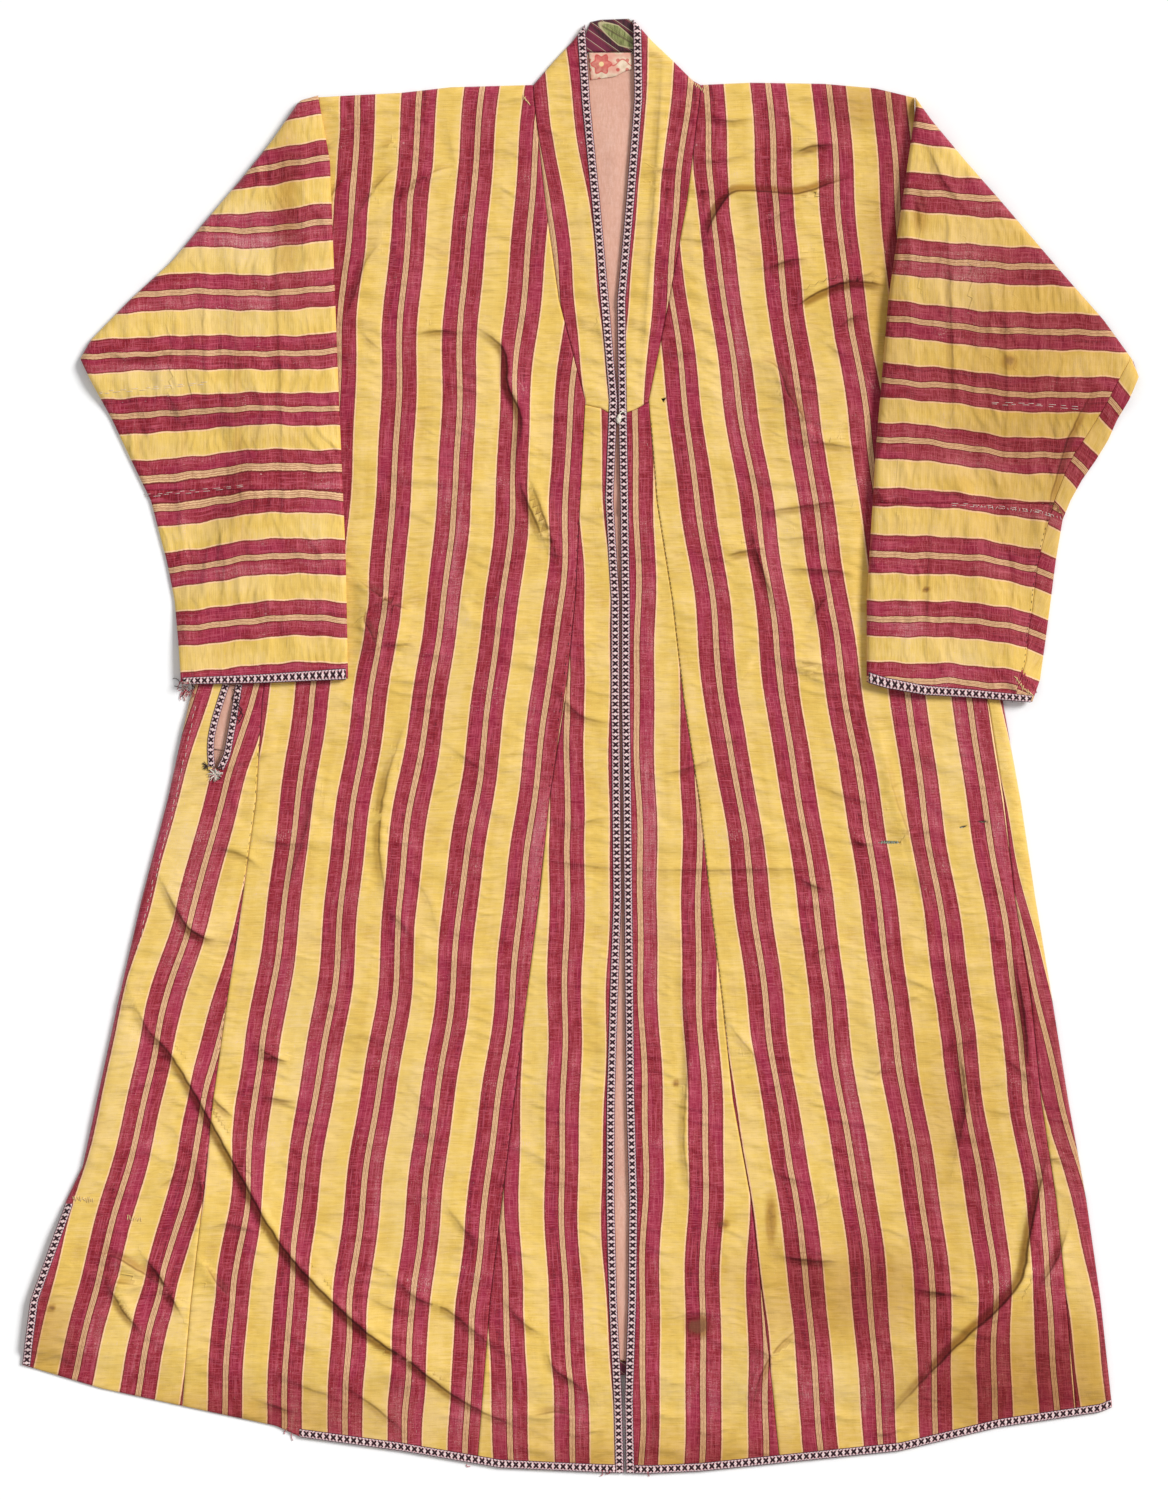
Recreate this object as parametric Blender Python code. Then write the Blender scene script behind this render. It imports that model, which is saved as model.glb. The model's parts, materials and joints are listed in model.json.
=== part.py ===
"""An Uzbek chapan robe of striped cotton, laid flat with its sleeves folded down over the fronts.

All sizes are in millimetres. X runs across the robe, Y from the hem up to the collar, and Z up from
the surface that it lies on. "Left" is -X and "right" is +X, as one looks down on the robe.

The layers from the surface up are: back panels, lining, fronts and collar, sleeves, edge braid.
"""

import math

import bmesh
import bpy
import numpy as np

MM = 0.001

# ---- Cloth thicknesses and the height at which each layer lies ----
SEWING_GAP = 0.3
BACK_CLOTH = 2.0
LINING_CLOTH = 1.0
FRONT_CLOTH = 1.8
SLEEVE_CLOTH = 1.6
SLEEVE_HOLLOW = 0.6
BRAID_CLOTH = 1.0
BRAID_WIDTH = 7.5

LINING_Z = BACK_CLOTH + SEWING_GAP
FRONT_Z = LINING_Z + LINING_CLOTH + SEWING_GAP
SLEEVE_Z = FRONT_Z + FRONT_CLOTH + SEWING_GAP
SLEEVE_HEIGHT = 2 * SLEEVE_CLOTH + SLEEVE_HOLLOW

# ---- How a panel's edge is divided: no extra points, or points at the braid's inner edge ----
HALF_GAP = SEWING_GAP / 2
PLAIN = (0.0,)
TRIMMED = (0.0, BRAID_WIDTH)

# ---- How cloth turns down at its folded edges ----
ROLL_WIDTH = 9.0
ROLL_STEPS = (0.0, 2.0, 5.0, 9.0)
BACK_INSET = 5.0
LINING_INSET = 14.0
ROOT_INSET = 14.0
ROOT_RISE = 10.0
ROOT_STEP = 1.2
SLEEVE_OVERHANG = 16.0
SLEEVE_DROP = 30.0
SLEEVE_PINCH = 1.0
HEM_DROP = 30.0
HEM_CLEARANCE = 3.0

# ---- Where the fronts turn down at their sides: from the first height Y to the second ----
TURN_LEFT = (290.0, 210.0)
TURN_LEFT_SLIT = (-430.0, -400.0)
TURN_RIGHT = (100.0, 50.0)

# ---- The cut: where each seam and edge lies across the robe, section by section ----
SECTION = 88.0
SEAM_COLUMNS = (
    "y", "side_left", "gore_left", "insert_left", "edge_left",
    "edge_right", "insert_right", "gore_right", "side_right",
)
SEAM_ROWS = (
    (-641, -502.0, -355.5, -91.5, 38.7, 40.5, 177.0, 442.6, 473.0),
    (-574, -495.4, -350.2, -86.2, 37.0, 39.2, 170.3, 435.6, 468.0),
    (-486, -484.0, -342.3, -79.2, 32.6, 42.2, 160.6, 427.7, 458.5),
    (-398, -452.3, -331.8, -68.6, 30.4, 43.1, 150.5, 418.9, 446.0),
    (-368, -438.0, -328.8, -65.1, 30.5, 42.2, 145.1, 414.4, 440.5),
    (-310, -425.5, -323.0, -58.1, 30.8, 40.5, 134.6, 405.7, 430.0),
    (-222, -406.6, -310.6, -47.5, 33.4, 39.6, 125.0, 396.9, 416.0),
    (-134, -386.3, -297.4, -36.1, 36.5, 38.7, 114.4, 382.8, 401.3),
    (-46, -363.4, -285.1, -27.3, 35.6, 37.8, 104.7, 373.0, 388.0),
    (42, -344.0, -279.8, -13.2, 34.8, 36.5, 91.1, 359.0, 372.2),
    (130, -314.0, -269.3, -4.4, 34.8, 36.5, 81.0, 344.9, 344.5),
    (218, -279.8, -261.4, 0.0, 29.5, 35.2, 67.3, 315.0, 315.0),
    (306, -244.6, -244.6, 4.4, 33.0, 33.6, 60.3, 286.0, 286.0),
    (394, -238.0, -238.0, -18.5, 25.5, 32.6, 78.3, 288.6, 288.6),
    (482, -234.0, -234.0, -30.8, 17.6, 40.5, 94.2, 292.2, 292.2),
    (570, -230.6, -230.6, -40.5, 8.8, 47.5, 105.0, 294.8, 294.8),
    (584, -230.6, -230.6, -41.5, 8.0, 47.5, 106.0, 294.8, 294.8),
    (637, -230.6, -230.6, -41.5, 4.4, 46.6, 106.0, 294.8, 294.8),
)
ROBE_MIDDLE = (0.3, 1.9)
GORE_TOP_LEFT = 280.0
GORE_TOP_RIGHT = 112.0
CENTRE_BACK = 33.0
NECK_POINTS_LEFT = (0.0, 45.0, 81.0)
NECK_POINTS_RIGHT = (0.0, 35.0, 75.0)
BACK_GORE_TOP_LEFT = 262.0
BACK_GORE_TOP_RIGHT = 74.0

# ---- Edges that run across the robe, as height Y at places X ----
HEM = (
    (-492, -543), (-422, -564), (-334, -583), (-268, -597), (-246, -607), (-158, -619),
    (-70, -634), (18, -638), (62, -639), (106, -637), (194, -628), (282, -619),
    (370, -598), (458, -585), (470, -580),
)
BACK_HEM = ((-492, -522), (-250, -540), (30, -552), (300, -556), (470, -558))
TOP_OUTLINE = (
    (-231, 574), (-158, 577), (-114, 582), (-41, 584), (-23, 605), (-6, 623), (4, 637),
    (18, 641.5), (46, 642.5), (63, 623), (82, 605), (99, 588), (106, 584),
    (150, 586), (215, 585), (260, 581), (295, 573),
)
SHOULDER_LEFT = ((-231, 556), (-218, 574), (-158, 577), (-114, 582), (-41, 584))
SHOULDER_RIGHT = ((106, 584), (150, 586), (215, 585), (260, 581), (282, 576), (295, 555))
COLLAR_END_LEFT = ((5, 302), (18, 299), (25, 295), (33, 294))
COLLAR_END_RIGHT = ((34, 294), (41, 295), (49, 298), (56, 302), (60, 304))
BACK_TOP = (
    (-226, 562), (-48, 572), (-30, 588), (-14, 608), (68, 608), (92, 588), (108, 572), (290, 560),
)
LINING_TOP = (
    (-217, 560), (-50, 564), (-28, 580), (-12, 600), (0, 611), (52, 611),
    (66, 598), (88, 580), (105, 564), (281, 556),
)
FACING_TOP = ((0, 618), (4, 625), (9, 639.5), (18, 641.5), (45, 642.5), (50, 625), (55, 618))
PATCH_BOTTOM = ((9, 588), (18, 589), (31, 591), (40, 596), (48, 598))
NECK_SEAM = 613.0
COLLAR_BACK_SPAN = (-1.0, 57.0)
FACING_SPAN = (0.0, 55.0)
HEM_FACING = 12.0

# ---- Largest folds of the fronts: a path, how high the ridge stands and how wide it is ----
FOLD_COLUMNS = ("height", "width", "path")
FOLDS = (
    (5.0, 22.0, ((-365, -231), (-299, -292), (-255, -398), (-211, -477), (-141, -547), (-18, -591))),
    (5.0, 22.0, ((422, -389), (350, -450), (282, -556))),
    (3.5, 18.0, ((-395, -290), (-345, -390), (-300, -500))),
    (3.0, 20.0, ((205, -500), (160, -545), (150, -600))),
    (3.0, 22.0, ((-150, 20), (-175, -60), (-165, -150))),
)

# ---- Sleeves folded down over the fronts: the four edges of each ----
SLEEVE_EDGES = {
    "left": {
        "cuff": ((-204, 60.7), (-280, 57.5), (-351, 56.3)),
        "inner": ((-204, 60.7), (-206, 165), (-212, 306), (-220, 517), (-230.6, 574.6)),
        "outer": (
            (-351, 56.3), (-353, 86), (-357, 130), (-364, 165), (-378, 218), (-395, 253),
            (-412, 289), (-431, 324), (-440, 343),
        ),
        "fold": (
            (-230.6, 574.6), (-247, 570), (-271, 535), (-299, 500), (-329, 465), (-359, 429),
            (-397, 394), (-431, 359), (-440, 343),
        ),
    },
    "right": {
        "cuff": ((252, 58), (269, 53), (303, 47), (340, 45), (398, 40.5)),
        "inner": ((252, 58), (252, 130), (260, 262), (271, 394), (294.8, 561), (294.8, 573)),
        "outer": (
            (398, 40.5), (405, 60), (410, 95), (414.5, 130), (419, 165), (425, 201), (432, 218),
            (442, 236), (454, 253), (465, 271), (473, 289), (483, 306), (492, 327),
        ),
        "fold": (
            (294.8, 573), (309, 553), (339, 517), (370, 482), (400, 447), (430, 412),
            (461, 377), (487, 341), (492, 327),
        ),
    },
}
SLEEVE_COLUMNS = 10
SLEEVE_ROWS = 13
SLEEVE_JOIN = {"left": 227.0, "right": 215.0}
STRIP_SEAM = (
    (40, 382), (53, 384.6), (77, 392.5), (105, 395), (121, 398), (158, 402), (175, 406), (198, 412),
    (219, 418), (242, 427), (259, 435), (275, 446), (301, 462), (323, 473.4), (342, 484),
)

# ---- Pocket slit in the left side gore, and the button ----
POCKET_TOP = (-304.5, 60.0)
POCKET_BOTTOM = (-320.0, -19.0)
POCKET_SLIT = 7.0
POCKET_BRAID = 5.8
POCKET_CENTRE = (-314.0, 2.0)
POCKET_REACH = (52.0, 40.0)
POCKET_RISE = LINING_CLOTH + SEWING_GAP
BUTTON_PLACE = (34.3, 289.5)
BUTTON_SIZE = (4.4, 8.4, 4.0)

COLOURS = {
    "stripe": (0.42, 0.08, 0.10, 1.0),
    "yellow": (0.78, 0.50, 0.14, 1.0),
    "lining": (0.72, 0.45, 0.32, 1.0),
    "facing": (0.10, 0.02, 0.04, 1.0),
    "print": (0.65, 0.18, 0.15, 1.0),
    "braid": (0.45, 0.30, 0.30, 1.0),
    "button": (0.85, 0.82, 0.74, 1.0),
}


# ---- Reading the tables ----
def across(table, x):
    """Height Y of an edge at place X."""
    places, heights = zip(*table)
    return np.interp(x, places, heights)


def seam(name, y):
    """Place X of a seam or edge at height Y."""
    rows = np.array(SEAM_ROWS)
    return np.interp(y, rows[:, 0], rows[:, SEAM_COLUMNS.index(name)])


def smooth(value):
    """Eases from 0 to 1 as the value goes from 0 to 1."""
    value = np.clip(value, 0.0, 1.0)
    return value * value * (3.0 - 2.0 * value)


def between(span, value):
    """Eases from 0 to 1 as the value goes from the span's first number to its second."""
    return smooth((value - span[0]) / (span[1] - span[0]))


def rolled(distance):
    """Share of its full height that a layer has at this distance from its folded edge."""
    share = np.clip(distance / ROLL_WIDTH, 0.0, 1.0)
    return np.sqrt(1.0 - (1.0 - share) ** 2)


def along(path, share):
    """The point at this share of a path's length."""
    points = np.array(path, float)
    steps = np.hypot(*np.diff(points, axis=0).T)
    reach = np.concatenate([[0.0], np.cumsum(steps)]) / steps.sum()
    return np.array([np.interp(share, reach, points[:, 0]), np.interp(share, reach, points[:, 1])])


def distance_to(path, x, y):
    """Distance from (x, y) to a path, and the share of the path at the nearest point."""
    best, place = math.inf, 0.0
    for index, (start, end) in enumerate(zip(path[:-1], path[1:])):
        run = (end[0] - start[0], end[1] - start[1])
        share = ((x - start[0]) * run[0] + (y - start[1]) * run[1]) / (run[0] ** 2 + run[1] ** 2)
        share = min(max(share, 0.0), 1.0)
        gap = math.hypot(x - start[0] - share * run[0], y - start[1] - share * run[1])
        if gap < best:
            best, place = gap, (index + share) / (len(path) - 1)
    return best, place


# ---- Heights of the layers ----
def fold_height(x, y):
    """How far the fronts' folds lift the cloth."""
    lift = 0.0
    for row in FOLDS:
        fold = dict(zip(FOLD_COLUMNS, row))
        gap, place = distance_to(fold["path"], x, y)
        ends = math.sin(math.pi * (0.08 + 0.84 * place))
        lift += fold["height"] * ends * math.exp(-((gap / fold["width"]) ** 2))
    return lift if lift > 0.05 else 0.0


def pocket_height(x, y):
    """How far the pocket bag lifts the left side gore."""
    x_away = (x - POCKET_CENTRE[0]) / POCKET_REACH[0]
    y_away = (y - POCKET_CENTRE[1]) / POCKET_REACH[1]
    away = math.hypot(x_away, y_away)
    return POCKET_RISE * (1.0 - smooth((away - 0.75) / 0.25))


def side_share(x, y):
    """Share of their height that the fronts keep near the side edges, where they turn down."""
    turned_left = between(TURN_LEFT, y) * between(TURN_LEFT_SLIT, y)
    turned_right = between(TURN_RIGHT, y)
    left = 1.0 - turned_left * (1.0 - rolled(x - seam("side_left", y)))
    right = 1.0 - turned_right * (1.0 - rolled(seam("side_right", y) - x))
    return left * right


def front_height(x, y):
    """Height of the underside of the fronts and the collar bands."""
    share = side_share(x, y) * rolled(across(TOP_OUTLINE, x) - y)
    back_edge = across(BACK_HEM, x) - HEM_CLEARANCE
    room = back_edge - across(HEM, x) - BRAID_WIDTH
    share *= 1.0 - smooth((back_edge - y) / min(room, HEM_DROP))
    return share * (FRONT_Z + fold_height(x, y)) + pocket_height(x, y)


def sleeve_height(side, x, y):
    """Height of the underside of a sleeve that is folded down."""
    fold = SLEEVE_EDGES[side]["fold"]
    armpit = (seam("side_" + side, 306.0), 306.0)
    under = across(sorted((armpit, fold[-1])), x) - y
    beyond = seam("side_left", y) - x if side == "left" else x - seam("side_right", y)
    outside = min(under, beyond) - SLEEVE_OVERHANG
    gap, _ = distance_to(fold, x, y)
    return SLEEVE_Z * rolled(gap) * (1.0 - smooth(outside / SLEEVE_DROP))


# ---- Making solids ----
def spread(length, near, count, far):
    """Places from 0 to length: close ones at both ends and count even steps between them."""
    room = near[-1] + far[-1]
    squeeze = min(1.0, 0.8 * length / room) if room else 1.0
    near = [place * squeeze for place in near]
    far = [length - place * squeeze for place in far]
    between = np.linspace(near[-1], far[-1], count + 1)[1:-1]
    return np.array(near + list(between) + far[::-1])


def panel_points(left, right, levels, near, count, far, height):
    """Points of a panel's underside, by row and column.

    left and right give X at a height Y, each level gives Y at a place X, and height gives Z.
    """
    columns = len(near) + count - 1 + len(far)
    points = np.zeros((len(levels), columns, 3))
    for row, level in enumerate(levels):
        for column in range(columns):
            y = level(0.5 * (left(0.0) + right(0.0)))
            for _ in range(8):
                start, end = left(y), right(y)
                x = start + spread(end - start, near, count, far)[column]
                y = level(x)
            points[row, column] = x, y, height(x, y)
    return points


def material(name, colour):
    made = bpy.data.materials.new(name)
    made.use_nodes = True
    shader = made.node_tree.nodes["Principled BSDF"]
    shader.inputs["Base Color"].default_value = COLOURS[colour]
    shader.inputs["Roughness"].default_value = 0.85
    shader.inputs["Metallic"].default_value = 0.0
    return made


def finish(name, bm, colour, collection):
    """Makes an object of a mesh in millimetres, with its origin in its middle."""
    bmesh.ops.recalc_face_normals(bm, faces=bm.faces)
    if bm.calc_volume(signed=True) < 0.0:
        bmesh.ops.reverse_faces(bm, faces=bm.faces)
    bmesh.ops.triangulate(bm, faces=bm.faces)
    corners = np.array([vertex.co[:] for vertex in bm.verts])
    middle = 0.5 * (corners.min(axis=0) + corners.max(axis=0))
    bmesh.ops.translate(bm, verts=bm.verts, vec=-middle)
    bmesh.ops.scale(bm, verts=bm.verts, vec=(MM, MM, MM))
    mesh = bpy.data.meshes.new(name)
    bm.to_mesh(mesh)
    bm.free()
    mesh.shade_smooth()
    mesh.set_sharp_from_angle(angle=math.radians(40))
    made = bpy.data.objects.new(name, mesh)
    made.location = middle * MM
    made.data.materials.append(material(name, colour))
    collection.objects.link(made)
    return made


def sheet(name, points, thickness, colour, collection):
    """A cloth wall on a grid of points of its underside: a flat grid, thickened and then laid out."""
    rows, columns = points.shape[:2]
    thickness = np.broadcast_to(thickness, (rows, columns))
    bm = bmesh.new()
    bmesh.ops.create_grid(bm, x_segments=columns - 1, y_segments=rows - 1, size=1.0)
    raised = bmesh.ops.extrude_face_region(bm, geom=bm.faces[:])["geom"]
    upper = [item for item in raised if isinstance(item, bmesh.types.BMVert)]
    bmesh.ops.translate(bm, verts=upper, vec=(0.0, 0.0, 1.0))
    for vertex in bm.verts:
        column = round((vertex.co.x + 1.0) / 2.0 * (columns - 1))
        row = round((vertex.co.y + 1.0) / 2.0 * (rows - 1))
        x, y, z = points[row, column]
        vertex.co = (x, y, z + vertex.co.z * thickness[row, column])
    return finish(name, bm, colour, collection)


def as_cutter(made):
    made.hide_render = True
    made.display_type = "WIRE"
    return made


def block(name, x_range, y_range, cutters):
    """A tall box that cuts everything within these ranges."""
    bm = bmesh.new()
    bmesh.ops.create_cube(bm, size=1.0)
    size = (x_range[1] - x_range[0], y_range[1] - y_range[0], 60.0)
    bmesh.ops.scale(bm, verts=bm.verts, vec=size)
    bmesh.ops.translate(bm, verts=bm.verts, vec=(sum(x_range) / 2, sum(y_range) / 2, 0.0))
    return as_cutter(finish(name, bm, "lining", cutters))


def combine(made, cutter, operation):
    modifier = made.modifiers.new(operation.title(), "BOOLEAN")
    modifier.operation = operation
    modifier.solver = "EXACT"
    modifier.object = cutter


# ---- Rows that the panels share ----
def level(value):
    """A straight row, or a straight seam: the same value all along."""
    return lambda place: value


def raised_by(table, rise):
    return lambda x: across(table, x) + rise


def section_levels(low, high):
    """Straight rows at thirds of a section, so that neighbours share each bend of their seam."""
    step = SECTION / 3.0
    first = math.ceil((low - 570.0) / step)
    last = math.floor((high - 570.0) / step)
    return [level(570.0 + step * index) for index in range(first, last + 1)]


def hem_levels():
    """Rows at the hem: its edge, the braid's inner edge, and where the cloth leaves the back."""
    def middle(x):
        return 0.45 * across(HEM, x) + 0.55 * (across(BACK_HEM, x) - HEM_CLEARANCE)

    return [
        raised_by(HEM, 0.0), raised_by(HEM, BRAID_WIDTH), middle, raised_by(BACK_HEM, -HEM_CLEARANCE),
    ]


def top_levels(table):
    return [raised_by(table, -step) for step in reversed(ROLL_STEPS)]


def beside(name, offset):
    """A seam moved sideways."""
    return lambda y: seam(name, y) + offset


# ---- The fronts ----
# The insert and the collar band of a side: left seam, right seam, points near each, collar's end.
INNER_PIECES = {
    "left": (
        beside("insert_left", HALF_GAP), beside("edge_left", 0.0), PLAIN, TRIMMED, COLLAR_END_LEFT,
    ),
    "right": (
        beside("edge_right", 0.0), beside("insert_right", -HALF_GAP), TRIMMED, PLAIN, COLLAR_END_RIGHT,
    ),
}


def front_main(side, robe):
    left, right, table = {
        "left": (beside("gore_left", HALF_GAP), beside("insert_left", -HALF_GAP), SHOULDER_LEFT),
        "right": (beside("insert_right", HALF_GAP), beside("gore_right", -HALF_GAP), SHOULDER_RIGHT),
    }[side]
    levels = hem_levels() + section_levels(-516, 545) + top_levels(table)
    points = panel_points(left, right, levels, PLAIN, 10, PLAIN, front_height)
    sheet("front_" + side, points, FRONT_CLOTH, "stripe", robe)
    return points


def front_insert(side, robe):
    left, right, near, far, table = INNER_PIECES[side]
    levels = hem_levels() + section_levels(-516, 280) + [raised_by(table, -SEWING_GAP)]
    points = panel_points(left, right, levels, near, 3, far, front_height)
    sheet("front_insert_" + side, points, FRONT_CLOTH, "yellow", robe)
    return points


def side_gore(side, robe):
    left, right, near, far, top = {
        "left": (
            beside("side_left", 0.0), beside("gore_left", -HALF_GAP), ROLL_STEPS, PLAIN, GORE_TOP_LEFT,
        ),
        "right": (
            beside("gore_right", HALF_GAP), beside("side_right", 0.0), PLAIN, ROLL_STEPS, GORE_TOP_RIGHT,
        ),
    }[side]
    levels = hem_levels() + section_levels(-516, top - 10) + [level(top)]
    points = panel_points(left, right, levels, near, 4, far, front_height)
    return points, sheet("side_gore_" + side, points, FRONT_CLOTH, "stripe", robe)


def collar_band(side, robe):
    left, right, near, far, table = INNER_PIECES[side]
    levels = [raised_by(table, 0.0)] + section_levels(305, 560) + top_levels(TOP_OUTLINE)
    points = panel_points(left, right, levels, near, 3, far, front_height)
    sheet("collar_" + side, points, FRONT_CLOTH, "yellow", robe)
    return points


# ---- The back, its lining and the neck ----
def back_panels(robe):
    def flat(x, y):
        return 0.0

    levels = [raised_by(BACK_HEM, 0.0)]
    levels += section_levels(-500, 550)[::3] + [level(560.0), raised_by(BACK_TOP, 0.0)]
    left_of_seam, right_of_seam = level(CENTRE_BACK - HALF_GAP), level(CENTRE_BACK + HALF_GAP)
    for side, left, right, near, far in (
        ("left", beside("gore_left", HALF_GAP), left_of_seam, PLAIN, NECK_POINTS_LEFT),
        ("right", right_of_seam, beside("gore_right", -HALF_GAP), NECK_POINTS_RIGHT, PLAIN),
    ):
        points = panel_points(left, right, levels, near, 3, far, flat)
        sheet("back_" + side, points, BACK_CLOTH, "stripe", robe)

    for side, left, right, top in (
        ("left", beside("side_left", BACK_INSET), beside("gore_left", -HALF_GAP), BACK_GORE_TOP_LEFT),
        ("right", beside("gore_right", HALF_GAP), beside("side_right", -BACK_INSET), BACK_GORE_TOP_RIGHT),
    ):
        levels = [raised_by(BACK_HEM, 0.0)] + section_levels(-500, top - 15) + [level(top)]
        points = panel_points(left, right, levels, PLAIN, 1, PLAIN, flat)
        sheet("back_gore_" + side, points, BACK_CLOTH, "stripe", robe)


def lining(robe):
    def on_back(x, y):
        return LINING_Z

    inset_left = beside("side_left", LINING_INSET)
    inset_right = beside("side_right", -LINING_INSET)
    levels = [raised_by(BACK_HEM, HEM_FACING + 1.0)]
    levels += section_levels(-480, 530)[::3] + [level(552.0), raised_by(LINING_TOP, 0.0)]
    points = panel_points(inset_left, inset_right, levels, PLAIN, 14, PLAIN, on_back)
    sheet("lining_back", points, LINING_CLOTH, "lining", robe)

    levels = [raised_by(BACK_HEM, 0.0), raised_by(BACK_HEM, HEM_FACING)]
    points = panel_points(inset_left, inset_right, levels, PLAIN, 14, PLAIN, on_back)
    sheet("hem_band_back", points, LINING_CLOTH, "facing", robe)


def neck(robe):
    """The collar behind the neck, its facing, and the printed patch below it."""
    def collar_top(x):
        return across(TOP_OUTLINE, x) - ROLL_WIDTH - BACK_INSET

    levels = [level(NECK_SEAM), collar_top]
    left, right = (level(place) for place in COLLAR_BACK_SPAN)
    points = panel_points(left, right, levels, PLAIN, 12, PLAIN, lambda x, y: 0.0)
    sheet("collar_back", points, BACK_CLOTH, "stripe", robe)

    def facing_height(x, y):
        return LINING_Z * rolled(across(TOP_OUTLINE, x) - y)

    levels = [level(NECK_SEAM)] + top_levels(FACING_TOP)
    left, right = (level(place) for place in FACING_SPAN)
    points = panel_points(left, right, levels, PLAIN, 11, PLAIN, facing_height)
    sheet("collar_facing", points, LINING_CLOTH, "facing", robe)

    levels = [raised_by(PATCH_BOTTOM, 0.0), level(NECK_SEAM - 1.0)]
    points = panel_points(beside("edge_left", 1.5), beside("edge_right", -1.5), levels,
                          PLAIN, 5, PLAIN, lambda x, y: FRONT_Z)
    sheet("neck_patch", points, LINING_CLOTH, "print", robe)


# ---- The sleeves ----
def sleeve_point(side, across_share, up_share):
    """A place on a sleeve, between its four edges."""
    edges = SLEEVE_EDGES[side]
    cuff, fold = along(edges["cuff"], across_share), along(edges["fold"], across_share)
    inner, outer = along(edges["inner"], up_share), along(edges["outer"], up_share)
    low = (1 - across_share) * np.array(edges["cuff"][0]) + across_share * np.array(edges["cuff"][-1])
    high = (1 - across_share) * np.array(edges["fold"][0]) + across_share * np.array(edges["fold"][-1])
    lengthwise = (1 - up_share) * cuff + up_share * fold
    crosswise = (1 - across_share) * inner + across_share * outer
    return lengthwise + crosswise - (1 - up_share) * low - up_share * high


def sleeve_grid(side, near, far, edge_shares):
    """Points of a folded sleeve's underside: rows from the cuff up, columns from the inner edge out."""
    shares = spread(1.0, edge_shares, SLEEVE_COLUMNS, edge_shares)
    edges = SLEEVE_EDGES[side]
    columns = []
    for share in shares:
        length = np.hypot(*(along(edges["fold"], share) - along(edges["cuff"], share)))
        ups = spread(length, near, SLEEVE_ROWS, far) / length
        column = [sleeve_point(side, share, up) for up in ups]
        columns.append([(x, y, sleeve_height(side, x, y)) for x, y in column])
    return np.array(columns).transpose(1, 0, 2)


def sleeve(side, robe, cutters):
    """One flattened tube, closed along both edges and the fold, open at the cuff."""
    points = sleeve_grid(side, TRIMMED, (0.0, 3.0, 7.0, 13.0), (0.0, 0.012, 0.035))
    pinch = np.zeros(points.shape[:2])
    pinch[:, [0, -1]] = 1.0
    body = points.copy()
    body[:, :, 2] += SLEEVE_PINCH * pinch
    heights = SLEEVE_HEIGHT - 2 * SLEEVE_PINCH * pinch

    hollow = sleeve_grid(side, (0.0, 12.0), (20.0,), (0.03, 0.05))
    hollow[0, :, 1] -= 3.0
    hollow[:, :, 2] += SLEEVE_CLOTH
    inside = as_cutter(sheet("hollow_" + side, hollow, SLEEVE_HOLLOW, "lining", cutters))

    join = SLEEVE_JOIN[side]
    wide = (-600.0, 600.0)
    below = block("below_join_" + side, wide, (-200.0, join + HALF_GAP), cutters)
    above = block("above_join_" + side, wide, (join - HALF_GAP, 700.0), cutters)
    upper = sheet("sleeve_" + side + "_upper", body, heights, "stripe", robe)
    lower = sheet("sleeve_" + side + "_lower", body, heights, "stripe", robe)
    for made, cutter in ((upper, below), (lower, above)):
        combine(made, inside, "DIFFERENCE")
        combine(made, cutter, "DIFFERENCE")
    if side == "right":
        underarm_strip(body, heights, inside, (upper, lower), robe, cutters)
    cuff_braid = points[:2].copy()
    cuff_braid[:, :, 2] = body[:2, :, 2] + heights[:2] + SEWING_GAP
    sheet("braid_cuff_" + side, cuff_braid, BRAID_CLOTH, "braid", robe)


def underarm_strip(body, heights, inside, others, robe, cutters):
    """The strip let into the right sleeve along its underarm."""
    def zone(name, offset):
        ys = [row[0] for row in STRIP_SEAM]
        xs = [row[1] for row in STRIP_SEAM]
        levels = [level(float(y)) for y in ys]
        points = panel_points(lambda y: np.interp(y, ys, xs) + offset, lambda y: 540.0, levels,
                              PLAIN, 1, PLAIN, lambda x, y: -20.0)
        return as_cutter(sheet(name, points, 60.0, "lining", cutters))

    for made in others:
        combine(made, zone("strip_zone_for_" + made.name, -HALF_GAP), "DIFFERENCE")
    strip = sheet("sleeve_right_strip", body, heights, "yellow", robe)
    combine(strip, inside, "DIFFERENCE")
    combine(strip, zone("strip_zone", HALF_GAP), "INTERSECT")


def sleeve_root(side, robe):
    """The layers hidden between the armhole and the slanting fold, as one rounded solid."""
    edges = SLEEVE_EDGES[side]
    fold = sorted((y, x) for x, y in edges["fold"])
    fold_ys = [row[0] for row in fold]
    fold_xs = [row[1] for row in fold]
    armpit = (seam("side_" + side, 306.0), 306.0)
    underarm = sorted((armpit, edges["fold"][-1]))

    def slanting(y):
        return np.interp(y, fold_ys, fold_xs) + (ROOT_INSET if side == "left" else -ROOT_INSET)

    left, right = {
        "left": (slanting, beside("side_left", -HALF_GAP)),
        "right": (beside("side_right", HALF_GAP), slanting),
    }[side]
    levels = [raised_by(underarm, ROOT_RISE)]
    levels += [level(y) for y in (360.0, 394.0, 438.0, 482.0, 526.0, 552.0)]
    points = panel_points(left, right, levels, PLAIN, 5, PLAIN, lambda x, y: 0.0)
    heights = np.full(points.shape[:2], FRONT_Z + FRONT_CLOTH)
    heights[:, 0 if side == "left" else -1] -= ROOT_STEP
    heights[0] -= ROOT_STEP
    sheet("sleeve_root_" + side, points, heights, "stripe", robe)


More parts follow.
